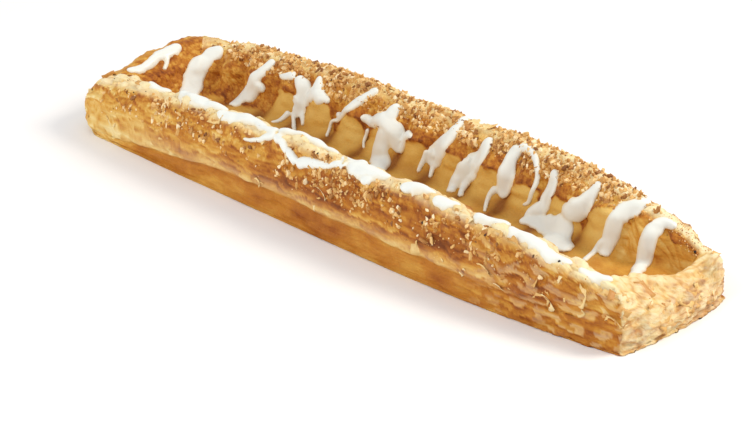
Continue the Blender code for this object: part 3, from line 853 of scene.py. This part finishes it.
def centred(tree: bpy.types.NodeTree, value: bpy.types.NodeSocket, amount: float) -> bpy.types.NodeSocket:
    """Scale a value between 0 and 1 so that it swings evenly about zero.

    Args:
        tree: The material's node tree.
        value: Socket between 0 and 1.
        amount: Whole swing of the result.

    Returns:
        The result's socket.
    """
    settings = {"operation": "MULTIPLY_ADD", 1: amount, 2: -amount / 2}
    return node(tree, "ShaderNodeMath", settings, {0: value}).outputs[0]


def colour_ramp(
    tree: bpy.types.NodeTree, fac: bpy.types.NodeSocket, stops: tuple[tuple[float, str], ...]
) -> bpy.types.NodeSocket:
    """Add a colour ramp.

    Args:
        tree: The material's node tree.
        fac: Socket that drives the ramp.
        stops: Places and hex colours.

    Returns:
        The ramp's colour socket.
    """
    ramp = node(tree, "ShaderNodeValToRGB", links={"Fac": fac})
    band = ramp.color_ramp
    while len(band.elements) < len(stops):
        band.elements.new(0.5)
    for element, (where, code) in zip(band.elements, stops):
        element.position = where
        element.color = srgb(code)
    return ramp.outputs["Color"]


@dataclass(frozen=True)
class LaminatedDoughFinish:
    """Butter-laminated dough, egg-washed and baked: satin gold, browner where it stood proud, with painted
    shade and a painted highlight from its marks.
    """

    # Dark stops give the browning and the painted shade on each leaf.
    browning_and_shade: tuple[tuple[float, str], ...] = (
        (0.0, "#f7e4ac"),
        (0.2, "#e9c677"),
        (0.4, "#d8a246"),
        (0.6, "#bf7b28"),
        (0.8, "#a0591a"),
        (1.0, "#743a12"),
    )
    # Its darker stops also give the painted shade between the lobes and low in the trough.
    filling: tuple[tuple[float, str], ...] = (
        (0.0, "#e6c06a"),
        (0.35, "#d9ab53"),
        (0.7, "#bf8838"),
        (1.0, "#965d22"),
    )
    # Also the painted highlight on the far crest's top.
    pale: str = "#f8ebc4"
    speck_mm: float = 1.1
    mottle_mm: float = 7.0
    mottling: float = 0.3
    leaf_streaks: float = 0.22
    grit: float = 0.45
    roughness: tuple[float, float] = (0.4, 0.62)
    ior: float = 1.45
    coat: float = 0.04
    gleam: float = 0.22

    def material(self) -> bpy.types.Material:
        """Build the finish from the dough's marks, with their painted shade and highlight, and three sizes
        of mottling.
        """
        made, tree, shader = blank_material("laminated_dough")
        marks = node(tree, "ShaderNodeAttribute", {"attribute_name": "bake_and_shade"})
        split = node(tree, "ShaderNodeSeparateColor", links={0: marks.outputs["Color"]})
        brown, pale, nutty = split.outputs[0], split.outputs[1], split.outputs[2]
        place = node(tree, "ShaderNodeTexCoord").outputs["Object"]
        mottle = node(tree, "ShaderNodeTexNoise",
                      {"Scale": 1.0 / (self.mottle_mm * MM), "Detail": 5.0, "Roughness": 0.62},
                      {"Vector": place}).outputs["Fac"]
        speck = node(tree, "ShaderNodeTexNoise",
                     {"Scale": 1.0 / (self.speck_mm * MM), "Detail": 3.0, "Roughness": 0.7},
                     {"Vector": place}).outputs["Fac"]
        stretched = node(tree, "ShaderNodeMapping", {"Scale": (0.12, 0.3, 1.0)}, {"Vector": place})
        leaf = node(tree, "ShaderNodeTexNoise",
                    {"Scale": 1.0 / (1.6 * MM), "Detail": 3.0, "Roughness": 0.6},
                    {"Vector": stretched.outputs[0]}).outputs["Fac"]
        shift = centred(tree, mottle, self.mottling)
        fine = centred(tree, leaf, self.leaf_streaks)
        grit = centred(tree, speck, self.grit)
        crusty = node(tree, "ShaderNodeMath", {"operation": "SUBTRACT", 0: 1.0},
                      {1: marks.outputs["Alpha"]}).outputs[0]
        fine = node(tree, "ShaderNodeMath", {"operation": "MULTIPLY"}, {0: fine, 1: crusty}).outputs[0]
        grit_here = node(tree, "ShaderNodeMath", {"operation": "MULTIPLY"},
                         {0: grit, 1: nutty}).outputs[0]
        total = node(tree, "ShaderNodeMath", {"operation": "ADD"}, {0: brown, 1: shift}).outputs[0]
        total = node(tree, "ShaderNodeMath", {"operation": "ADD"}, {0: total, 1: fine}).outputs[0]
        total = node(tree, "ShaderNodeMath", {"operation": "ADD", "use_clamp": True},
                     {0: total, 1: grit_here}).outputs[0]
        baked = colour_ramp(tree, total, self.browning_and_shade)
        streak = node(tree, "ShaderNodeMath", {"operation": "MULTIPLY_ADD", "use_clamp": True, 2: 0.0},
                      {0: pale, 1: leaf}).outputs[0]
        streak = node(tree, "ShaderNodeMath", {"operation": "MULTIPLY", "use_clamp": True, 1: 1.5},
                      {0: streak}).outputs[0]
        # Filling colour, with the painted shade between the lobes from the marks.
        custard_and_shade = colour_ramp(tree, total, self.filling)
        body = node(tree, "ShaderNodeMix", {"data_type": "RGBA"},
                    {0: marks.outputs["Alpha"], 6: baked, 7: custard_and_shade}).outputs[2]
        mix = node(tree, "ShaderNodeMix", {"data_type": "RGBA", 7: srgb(self.pale)},
                   {0: streak, 6: body})
        rough = node(tree, "ShaderNodeMapRange",
                     {"To Min": self.roughness[0], "To Max": self.roughness[1]},
                     {"Value": speck}).outputs[0]
        ridges = node(tree, "ShaderNodeMath", {"operation": "MULTIPLY"}, {0: leaf, 1: crusty}).outputs[0]
        bump_mix = node(tree, "ShaderNodeMath", {"operation": "ADD"}, {0: ridges, 1: speck}).outputs[0]
        bump = node(tree, "ShaderNodeBump", {"Strength": 0.9, "Distance": 0.8 * MM},
                    {"Height": bump_mix})
        tree.links.new(mix.outputs[2], shader.inputs["Base Color"])
        tree.links.new(rough, shader.inputs["Roughness"])
        tree.links.new(bump.outputs[0], shader.inputs["Normal"])
        shader.inputs["IOR"].default_value = self.ior
        shader.inputs["Specular IOR Level"].default_value = self.gleam
        shader.inputs["Coat Weight"].default_value = self.coat
        shader.inputs["Coat Roughness"].default_value = 0.35
        return made


@dataclass(frozen=True)
class SugarIcingFinish:
    """Poured sugar icing, set: smooth, soft white, letting a little light through."""

    colour: str = "#e7ebe6"
    thin: str = "#e6d9bb"
    roughness: float = 0.32
    ior: float = 1.48
    scatter: float = 0.25

    def material(self) -> bpy.types.Material:
        """Build the finish, warmer where the icing is a thin thread."""
        made, tree, shader = blank_material("sugar_icing")
        thin = node(tree, "ShaderNodeAttribute", {"attribute_name": "thin"}).outputs["Fac"]
        place = node(tree, "ShaderNodeTexCoord").outputs["Object"]
        swell = node(tree, "ShaderNodeTexNoise", {"Scale": 1.0 / (6.0 * MM), "Detail": 2.0},
                     {"Vector": place}).outputs["Fac"]
        mix = node(tree, "ShaderNodeMix",
                   {"data_type": "RGBA", 6: srgb(self.colour), 7: srgb(self.thin)}, {0: thin})
        bump = node(tree, "ShaderNodeBump", {"Strength": 0.25, "Distance": 0.4 * MM},
                    {"Height": swell})
        tree.links.new(mix.outputs[2], shader.inputs["Base Color"])
        tree.links.new(bump.outputs[0], shader.inputs["Normal"])
        shader.inputs["Roughness"].default_value = self.roughness
        shader.inputs["IOR"].default_value = self.ior
        shader.inputs["Subsurface Weight"].default_value = self.scatter
        shader.inputs["Subsurface Radius"].default_value = (1.0, 0.97, 0.9)
        shader.inputs["Subsurface Scale"].default_value = 1.2 * MM
        return made


@dataclass(frozen=True)
class GrainFinish:
    """Small baked pieces, each with its own tone from its 'tone' attribute."""

    name: str
    tones: tuple[tuple[float, str], ...]
    roughness: float = 0.6
    speck_mm: float = 0.8

    def material(self) -> bpy.types.Material:
        """Build the finish from each piece's tone and a fine speckle."""
        made, tree, shader = blank_material(self.name)
        tone = node(tree, "ShaderNodeAttribute", {"attribute_name": "tone"}).outputs["Fac"]
        place = node(tree, "ShaderNodeTexCoord").outputs["Object"]
        speck = node(tree, "ShaderNodeTexNoise", {"Scale": 1.0 / (self.speck_mm * MM), "Detail": 2.0},
                     {"Vector": place}).outputs["Fac"]
        shift = node(tree, "ShaderNodeMath", {"operation": "MULTIPLY_ADD", 1: 0.4, 2: -0.2},
                     {0: speck}).outputs[0]
        total = node(tree, "ShaderNodeMath", {"operation": "ADD", "use_clamp": True},
                     {0: tone, 1: shift}).outputs[0]
        colour = colour_ramp(tree, total, self.tones)
        bump = node(tree, "ShaderNodeBump", {"Strength": 0.4, "Distance": 0.2 * MM},
                    {"Height": speck})
        tree.links.new(colour, shader.inputs["Base Color"])
        tree.links.new(bump.outputs[0], shader.inputs["Normal"])
        shader.inputs["Roughness"].default_value = self.roughness
        return made


CHOPPED_NUT = GrainFinish(
    "toasted_chopped_nut",
    ((0.0, "#84501f"), (0.22, "#b87e3a"), (0.5, "#d8a85e"), (0.8, "#ecca8e"), (1.0, "#f8e6bc")),
)
LOOSE_FLAKE = GrainFinish(
    "loose_dough_flake",
    ((0.0, "#c48a44"), (0.3, "#dcac62"), (0.6, "#e9c884"), (1.0, "#f4e0ae")),
    roughness=0.5,
    speck_mm=1.5,
)
BURNT_CRUMB = GrainFinish(
    "burnt_crumb",
    ((0.0, "#24160d"), (0.5, "#3c2415"), (1.0, "#5e3a20")),
    roughness=0.7,
)


@dataclass
class BakedDough:
    """The folded dough itself, as one closed fine mesh."""

    surface: DoughSurface
    finish: LaminatedDoughFinish = field(default_factory=LaminatedDoughFinish)
    seam: float = 0.35

    def build(self) -> bpy.types.Object:
        """Shape the dough from a ball whose rings become the rows of the net.

        Returns:
            The dressed dough.
        """
        rows, columns = self.surface.position.shape
        deselect()
        bpy.ops.mesh.primitive_uv_sphere_add(segments=columns, ring_count=rows + 1, radius=1.0)
        dough = bpy.context.object
        dough.name = "baked_dough"
        mesh = dough.data
        ball = np.empty(len(mesh.vertices) * 3)
        mesh.vertices.foreach_get("co", ball)
        ball = ball.reshape(-1, 3)
        polar = np.arccos(np.clip(ball[:, 2], -1.0, 1.0))
        ring = (rows + 1) - np.rint(polar / math.pi * (rows + 1)).astype(int)
        turn = np.arctan2(ball[:, 1], ball[:, 0]) % math.tau
        column = np.rint(turn / math.tau * columns).astype(int) % columns
        on_net = (ring >= 1) & (ring <= rows)
        row = np.clip(ring - 1, 0, rows - 1)
        points = np.where(on_net[:, None], self.surface.points[row, column], 0.0)
        mesh.vertices.foreach_set("co", (points * MM).ravel())
        marks = self.surface.marks[row, column]
        # Marks of browning and filling, with painted shade and a painted highlight among them.
        bake_and_shade = mesh.color_attributes.new("bake_and_shade", "FLOAT_COLOR", "POINT")
        bake_and_shade.data.foreach_set("color", marks.ravel())
        top_row = np.empty(columns, int)
        top_row[column[ring == rows]] = np.flatnonzero(ring == rows)
        self.sew_middle(mesh, int(np.flatnonzero(ring == rows + 1)[0]), top_row)
        pick(dough)
        bpy.ops.object.shade_smooth()
        dress(dough, self.finish.material())
        return dough

    def sew_middle(self, mesh: bpy.types.Mesh, pole: int, top_row: np.ndarray) -> None:
        """Close the floor from its near edge to its far edge, in place of the ball's top point.

        Args:
            mesh: The dough's mesh.
            pole: Index of the ball's top point.
            top_row: Index of the last row's point in each column.
        """
        shell = bmesh.new()
        shell.from_mesh(mesh)
        shell.verts.ensure_lookup_table()
        edge_points = [shell.verts[index] for index in top_row]
        bmesh.ops.delete(shell, geom=[shell.verts[pole]], context="VERTS")
        joined = {}
        for corners in self.surface.floor_strip():
            shell.faces.new([edge_points[column] for column in corners])
            near, far = edge_points[corners[0]], edge_points[corners[2]]
            if (near.co - far.co).length < self.seam * MM:
                joined[far] = near
        bmesh.ops.weld_verts(shell, targetmap=joined)
        bmesh.ops.recalc_face_normals(shell, faces=shell.faces)
        shell.to_mesh(mesh)
        shell.free()


@dataclass
class IcingDrizzle:
    """All the icing: strands draped over the dough, run together and smoothed as it set."""

    surface: DoughSurface
    finish: SugarIcingFinish = field(default_factory=SugarIcingFinish)
    spread: float = 1.15
    across: int = 12
    fullness: tuple[float, float] = (0.6, 0.36)
    most_full: float = 1.8
    sunk: float = 0.9
    ground_softening: int = 5
    edge_wobble: float = 0.16
    voxel: float = 0.55
    step: float = 1.0
    clearance: float = 5.0
    thin_height: float = 1.2

    def build(self) -> bpy.types.Object:
        """Lay every strand, merge them and dress the result.

        Returns:
            The dressed icing.
        """
        ground = self.ground()
        sweeps = [self.lay(run, ground) for run in FAR_STRANDS + NEAR_STRANDS]
        deselect()
        for swept in sweeps:
            swept.select_set(True)
        bpy.context.view_layer.objects.active = sweeps[0]
        bpy.ops.object.join()
        icing = bpy.context.object
        icing.name = "icing_drizzle"
        merged = icing.modifiers.new("run_together", "REMESH")
        merged.mode = "VOXEL"
        merged.voxel_size = self.voxel * MM
        soft = icing.modifiers.new("settle", "SMOOTH")
        soft.factor = 0.5
        soft.iterations = 5
        apply_modifiers(icing)
        self.mark_thin(icing, ground)
        bpy.ops.object.shade_smooth()
        dress(icing, self.finish.material())
        return icing

    def ground(self) -> BVHTree:
        """Give the dough with its finest relief softened, as something to drop icing on."""
        points = self.surface.points.copy()
        for _ in range(self.ground_softening):
            points[1:-1] = 0.25 * points[:-2] + 0.5 * points[1:-1] + 0.25 * points[2:]
            points = 0.25 * np.roll(points, 1, 1) + 0.5 * points + 0.25 * np.roll(points, -1, 1)
        points = points * MM
        rows, columns = points.shape[:2]
        index = np.arange(rows * columns).reshape(rows, columns)
        nxt = np.roll(index, -1, 1)
        quads = np.stack([index[:-1], nxt[:-1], nxt[1:], index[1:]], -1).reshape(-1, 4)
        last = index[-1]
        floor = [tuple(int(last[column]) for column in corners) for corners in self.surface.floor_strip()]
        return BVHTree.FromPolygons(points.reshape(-1, 3).tolist(), quads.tolist() + floor)

    def drop(self, ground: BVHTree, x: float, y: float) -> tuple[Vector, Vector]:
        """Find the smooth dough under a place on the plan, and its slope's normal.

        Args:
            ground: The smooth dough.
            x: Place along the length, in millimetres.
            y: Place across it, in millimetres.

        Returns:
            The place, and a normal averaged over a few millimetres.
        """
        heights = {}
        for step_x, step_y in ((0, 0), (-1, 0), (1, 0), (0, -1), (0, 1)):
            above = Vector((x + 1.5 * step_x, y + 1.5 * step_y, 90.0)) * MM
            under = ground.ray_cast(above, Vector((0.0, 0.0, -1.0)))[0]
            heights[step_x, step_y] = (under or ground.find_nearest(above)[0]).z
        rise_x = heights[1, 0] - heights[-1, 0]
        rise_y = heights[0, 1] - heights[0, -1]
        normal = Vector((-rise_x, -rise_y, 3.0 * MM)).normalized()
        return Vector((x * MM, y * MM, heights[0, 0])), normal

    def drape(self, run: Strand, ground: BVHTree) -> tuple[np.ndarray, np.ndarray, np.ndarray]:
        """Lay a strand's middle line on the dough, with even steps along the surface.

        Args:
            run: The strand's places and half-widths.
            ground: The softened dough.

        Returns:
            Places in millimetres, the dough's normals there, and half-widths.
        """
        knots = np.asarray(run, float)
        reach = np.linalg.norm(np.diff(knots[:, :2], axis=0), axis=1)
        walked = np.concatenate([[0.0], np.cumsum(reach)])
        fine = np.linspace(0.0, walked[-1], max(round(walked[-1] / (0.5 * self.step)), 8))
        line = np.stack([np.interp(fine, walked, knots[:, axis]) for axis in range(3)], -1)
        line = soften(line, 12)
        dropped = [self.drop(ground, x, y) for x, y, _ in line]
        places = soften(np.array([place for place, _ in dropped]) / MM, 2)
        steps = np.linalg.norm(np.diff(places, axis=0), axis=1)
        arc = np.concatenate([[0.0], np.cumsum(steps)])
        values = np.column_stack([places, [tuple(normal) for _, normal in dropped], line[:, 2]])
        even = np.linspace(0.0, arc[-1], max(round(arc[-1] / self.step), 4) + 1)
        spaced = np.stack([np.interp(even, arc, column) for column in values.T], -1)
        normals = soften(spaced[:, 3:6], 6)
        normals /= np.linalg.norm(normals, axis=1, keepdims=True)
        return spaced[:, :3], normals, spaced[:, 6]

    def lay(self, run: Strand, ground: BVHTree) -> bpy.types.Object:
        """Lay one strand over the dough, following every hump under it.

        Args:
            run: The strand's places and half-widths.
            ground: The softened dough.

        Returns:
            The strand as a closed mesh.
        """
        places, normals, halves = self.drape(run, ground)
        sideways = np.cross(normals, np.gradient(places, axis=0))
        sideways /= np.linalg.norm(sideways, axis=1, keepdims=True)
        count = len(places) - 1
        deselect()
        bpy.ops.mesh.primitive_grid_add(x_subdivisions=count, y_subdivisions=self.across, size=2.0)
        ribbon = bpy.context.object
        low, share = self.fullness
        for vertex in ribbon.data.vertices:
            index = round((vertex.co.x + 1.0) / 2.0 * count)
            aside, half = vertex.co.y, halves[index]
            end = min(index, count - index) * self.step
            rounded = math.sqrt(max(1.0 - (1.0 - min(end / max(half, 0.1), 1.0)) ** 2, 0.0))
            wobble = noise.noise(Vector((*places[index, :2] / 4.5, math.copysign(5.0, aside))))
            wide = self.spread * half * (0.25 + 0.75 * rounded) * (1.0 + 2.0 * self.edge_wobble * wobble)
            up = Vector(normals[index])
            start = Vector(places[index] + sideways[index] * aside * wide) + up * self.clearance
            under = ground.ray_cast(start * MM, -up, 2.4 * self.clearance * MM)[0]
            under = under or ground.find_nearest(start * MM)[0]
            full = min(low + share * half, self.most_full) * (0.45 + 0.55 * rounded)
            lift = full * math.sqrt(max(1.0 - aside * aside, 0.0)) - 0.35 * abs(aside) ** 3
            vertex.co = under + up * lift * MM
        body = ribbon.modifiers.new("body", "SOLIDIFY")
        body.thickness = self.sunk * MM
        body.offset = -1.0
        apply_modifiers(ribbon)
        return ribbon

    def mark_thin(self, icing: bpy.types.Object, ground: BVHTree) -> None:
        """Mark where the icing stands only a little above the dough.

        Args:
            icing: The merged icing.
            ground: The smooth dough.
        """
        thin = icing.data.attributes.new("thin", "FLOAT", "POINT")
        values = []
        for vertex in icing.data.vertices:
            distance = ground.find_nearest(vertex.co)[3] / MM
            values.append(1.0 - min(distance / self.thin_height, 1.0))
        thin.data.foreach_set("value", values)


@dataclass
class Scatter:
    """Small pieces of one kind spread over the dough as one mesh."""

    name: str
    surface: DoughSurface
    finish: GrainFinish
    slot: Slot
    count: int
    sizes: tuple[float, float]
    seed: int
    sunk: float = 0.2
    variants: int = 6

    def density(self) -> np.ndarray:
        """Give how likely a piece is at each point of the net."""
        raise NotImplementedError

    def template(self, chance: random.Random) -> tuple[np.ndarray, list[tuple[int, ...]]]:
        """Model one piece of unit size.

        Args:
            chance: Seeded random numbers.

        Returns:
            Its points and faces.
        """
        deselect()
        bpy.ops.mesh.primitive_ico_sphere_add(subdivisions=1, radius=1.0)
        piece = bpy.context.object
        for vertex in piece.data.vertices:
            vertex.co *= chance.uniform(0.6, 1.25)
        points = np.array([vertex.co for vertex in piece.data.vertices])
        points *= (chance.uniform(0.9, 1.5), chance.uniform(0.6, 0.95), chance.uniform(0.5, 0.85))
        faces = [tuple(face.vertices) for face in piece.data.polygons]
        bpy.data.objects.remove(piece)
        return points, faces

    def turn(self, normal: Vector, chance: random.Random) -> Matrix:
        """Turn a piece at random."""
        return Euler([chance.uniform(0.0, math.tau) for _ in range(3)]).to_matrix()

    def build(self) -> bpy.types.Object:
        """Spread the pieces and dress them.

        Returns:
            The dressed pieces as one mesh.
        """
        chance = random.Random(self.seed)
        templates = [self.template(chance) for _ in range(self.variants)]
        weight = self.density().ravel()
        picks = np.random.default_rng(self.seed).choice(
            len(weight), self.count, replace=False, p=weight / weight.sum())
        places = self.surface.points.reshape(-1, 3)[picks]
        normals = self.surface.normal.reshape(-1, 3)[picks]
        points, faces, tones = [], [], []
        start = 0
        for place, normal in zip(places, normals):
            shape, shape_faces = templates[chance.randrange(self.variants)]
            smallest, largest = self.sizes
            size = smallest + (largest - smallest) * chance.random() ** 1.6
            turned = shape @ np.array(self.turn(Vector(normal), chance)).T * size
            settled = turned + place - normal * self.sunk * size
            settled[:, 2] = np.maximum(settled[:, 2], 0.0)
            points.append(settled)
            faces.extend(tuple(corner + start for corner in face) for face in shape_faces)
            tones.extend([min(max(chance.gauss(0.5, 0.3), 0.0), 1.0)] * len(shape))
            start += len(shape)
        mesh = bpy.data.meshes.new(self.name)
        mesh.from_pydata((np.concatenate(points) * MM).tolist(), [], faces)
        mesh.attributes.new("tone", "FLOAT", "POINT").data.foreach_set("value", tones)
        spread = bpy.data.objects.new(self.name, mesh)
        bpy.context.scene.collection.objects.link(spread)
        self.finish_mesh(spread)
        dress(spread, self.finish.material())
        return spread

    def finish_mesh(self, spread: bpy.types.Object) -> None:
        """Give the joined mesh its last modifiers, if it has any."""


@dataclass
class ChoppedNuts(Scatter):
    """Chopped nuts over the far crust and in drifts on the near side."""

    def density(self) -> np.ndarray:
        """Crowd the far crust, and drift over the top of the near wall."""
        place, position = self.surface.smooth, self.surface.position
        x, far = place[..., 0], self.surface.across[None, :] > ON_SIDE
        near = self.surface.across[None, :] < -ON_SIDE
        reach = 1.0 - ease(np.abs(x + 10.0), 138.0, 176.0)
        on_crust = ease(position, 9.6, 10.6) * (1.0 - ease(position, 13.4, 14.0))
        drift = 0.8 * np.exp(-(((x + 118.0) / 36.0) ** 2)) + 1.3 * np.exp(-(((x - 22.0) / 38.0) ** 2))
        drift = drift + 0.5 * np.exp(-(((x - 110.0) / 25.0) ** 2)) + 0.12
        on_wall = ease(position, 6.9, 8.0) * (1.0 - ease(position, 9.2, 10.0))
        clumps = np.clip(0.5 + 0.9 * grain(place, (7.0,) * 3, 41), 0.02, 1.5)
        return (far * on_crust + near * 0.5 * on_wall * drift) * reach * clumps + 1e-9


@dataclass
class FineCrumbs(Scatter):
    """Sugar and nut dust between the larger pieces, with some all over the upper dough."""

    def density(self) -> np.ndarray:
        """Crowd both crusts and thin out elsewhere."""
        place, position = self.surface.smooth, self.surface.position
        side = np.abs(self.surface.across)[None, :] > ON_SIDE
        crust = ease(position, 8.0, 10.5) * (1.0 - ease(position, 13.6, 14.1))
        wall = ease(position, 6.0, 7.5) * (1.0 - ease(position, 10.0, 11.0))
        clumps = np.clip(0.4 + grain(place, (9.0,) * 3, 42), 0.02, 1.5)
        far = self.surface.across[None, :] > 0.0
        return side * (crust * np.where(far, 1.0, 0.12) + 0.25 * wall) * clumps + 1e-9


@dataclass
class LooseFlakes(Scatter):
    """Thin curled leaves of dough that lifted off in the oven."""

    curl: float = 0.3
    thickness: float = 0.18

    def density(self) -> np.ndarray:
        """Crowd the right end, the flap's lower edge and the rims."""
        position, x = self.surface.position, self.surface.smooth[..., 0]
        edge = np.exp(-(((position - 6.4) / 0.7) ** 2))
        rim = np.exp(-(((position - 11.2) / 0.9) ** 2))
        wall = ease(position, 6.0, 7.0) * (1.0 - ease(position, 10.0, 11.0))
        right = ease(x, 90.0, 195.0)
        outer_end = (self.surface.along[None, :] > ON_SIDE) * wall
        return edge * 0.5 + 0.5 * rim + wall * (0.05 + 0.5 * right) + 0.8 * outer_end + 1e-9

    def template(self, chance: random.Random) -> tuple[np.ndarray, list[tuple[int, ...]]]:
        """Model one curled leaf with a torn outline.

        Args:
            chance: Seeded random numbers.

        Returns:
            Its points and faces.
        """
        deselect()
        bpy.ops.mesh.primitive_grid_add(x_subdivisions=4, y_subdivisions=3, size=2.0)
        leaf = bpy.context.object
        bend = chance.uniform(0.5, 1.0) * self.curl
        for vertex in leaf.data.vertices:
            x, y = vertex.co.x, vertex.co.y
            tear = chance.uniform(0.7, 1.15) if max(abs(x), abs(y)) > 0.9 else 1.0
            height = bend * (x * x + 0.5 * y) + chance.uniform(-0.05, 0.05)
            vertex.co = (x * tear * 1.3, y * tear * 0.7, height)
        points = np.array([vertex.co for vertex in leaf.data.vertices])
        faces = [tuple(face.vertices) for face in leaf.data.polygons]
        bpy.data.objects.remove(leaf)
        return points, faces

    def turn(self, normal: Vector, chance: random.Random) -> Matrix:
        """Lay a leaf nearly flat on the dough, mostly lengthwise."""
        lengthwise = Vector((1.0, 0.0, 0.0))
        side = normal.cross(lengthwise)
        if side.length < 0.1:
            side = Vector((0.0, 1.0, 0.0))
        side.normalize()
        forward = side.cross(normal).normalized()
        basis = Matrix((forward, side, normal)).transposed()
        tilt = Euler((chance.gauss(0.0, 0.14), chance.gauss(0.0, 0.14), chance.gauss(0.0, 0.6)))
        return basis @ tilt.to_matrix()

    def finish_mesh(self, spread: bpy.types.Object) -> None:
        """Give the leaves their thickness."""
        wall = spread.modifiers.new("leaf", "SOLIDIFY")
        wall.thickness = self.thickness * MM
        apply_modifiers(spread)
        bpy.ops.object.shade_smooth()


@dataclass
class BurntCrumbs(Scatter):
    """A few nearly black crumbs."""

    def density(self) -> np.ndarray:
        """Spread them over both crusts."""
        position = self.surface.position
        side = np.abs(self.surface.across)[None, :] > ON_SIDE
        return side * ease(position, 7.5, 9.0) * (1.0 - ease(position, 13.0, 14.0)) + 1e-9


@dataclass(frozen=True)
class Studio:
    """Pale floor, soft daylight from behind on the right, and the photograph's camera."""

    azimuth: float = 44.88
    elevation: float = 25.62
    distance: float = 1.0646
    aim: tuple[float, float, float] = (0.01026, -0.01289, 0.0)
    focal_pixels: float = 2000.0
    floor_colour: str = "#f6f6f7"
    world_strength: float = 0.7

    def build(self) -> None:
        """Add the floor, the lights, the sky and the camera."""
        self.add_floor()
        self.add_lights()
        self.add_camera()

    def add_floor(self) -> None:
        """Add the plain pale floor."""
        deselect()
        bpy.ops.mesh.primitive_plane_add(size=6.0)
        floor = bpy.context.object
        floor.name = "floor"
        material, _, shader = blank_material("matte_paper")
        shader.inputs["Base Color"].default_value = srgb(self.floor_colour)
        shader.inputs["Roughness"].default_value = 0.9
        floor.data.materials.append(material)

    def add_lights(self) -> None:
        """Add a large soft key behind on the right, a fill in front, and a pale sky."""
        self.area("key", (0.75, 0.7, 0.95), 0.5, 13.0, "#fff4e4")
        self.area("fill", (-0.4, -1.3, 0.8), 1.4, 11.0, "#fffaf2")
        bpy.context.scene.view_settings.view_transform = "Standard"
        world = bpy.data.worlds.new("pale_sky")
        world.use_nodes = True
        sky = world.node_tree.nodes["Background"]
        sky.inputs[0].default_value = srgb("#fbfcff")
        sky.inputs[1].default_value = self.world_strength
        bpy.context.scene.world = world

    def area(
        self, name: str, place: tuple[float, float, float], size: float, power: float, colour: str
    ) -> None:
        """Add one soft light aimed at the pastry.

        Args:
            name: Its name.
            place: Where it hangs, in metres.
            size: Its side, in metres.
            power: Its power in watts.
            colour: Its hex colour.
        """
        light = bpy.data.lights.new(name, "AREA")
        light.size = size
        light.energy = power
        light.color = srgb(colour)[:3]
        holder = bpy.data.objects.new(name, light)
        holder.location = place
        holder.rotation_euler = Vector(place).to_track_quat("Z", "Y").to_euler()
        bpy.context.scene.collection.objects.link(holder)

    def add_camera(self) -> None:
        """Set the camera at the photograph's viewing angle."""
        turn, rise = math.radians(self.azimuth), math.radians(self.elevation)
        back = Vector((math.sin(turn) * math.cos(rise), -math.cos(turn) * math.cos(rise), math.sin(rise)))
        data = bpy.data.cameras.new("camera")
        data.sensor_width = SENSOR_WIDTH
        data.lens = SENSOR_WIDTH * self.focal_pixels / IMAGE_WIDTH
        camera = bpy.data.objects.new("camera", data)
        camera.location = Vector(self.aim) + back * self.distance
        camera.rotation_euler = back.to_track_quat("Z", "Y").to_euler()
        bpy.context.scene.collection.objects.link(camera)
        bpy.context.scene.camera = camera


def main() -> None:
    """Build the pastry and its studio in order."""
    logging.basicConfig(level=logging.INFO, format="%(name)s: %(message)s")
    surface = DoughSurface()
    BakedDough(surface).build()
    IcingDrizzle(surface).build()
    ChoppedNuts("chopped_nuts", surface, CHOPPED_NUT, Slot.NUTS, 2500, (0.8, 2.2), 21).build()
    FineCrumbs("fine_crumbs", surface, CHOPPED_NUT, Slot.NUTS, 3000, (0.3, 0.6), 22).build()
    LooseFlakes("loose_flakes", surface, LOOSE_FLAKE, Slot.DOUGH, 170, (1.4, 4.2), 23).build()
    BurntCrumbs("burnt_crumbs", surface, BURNT_CRUMB, Slot.NUTS, 45, (0.4, 1.0), 24).build()
    Studio().build()


if __name__ == "__main__":
    main()
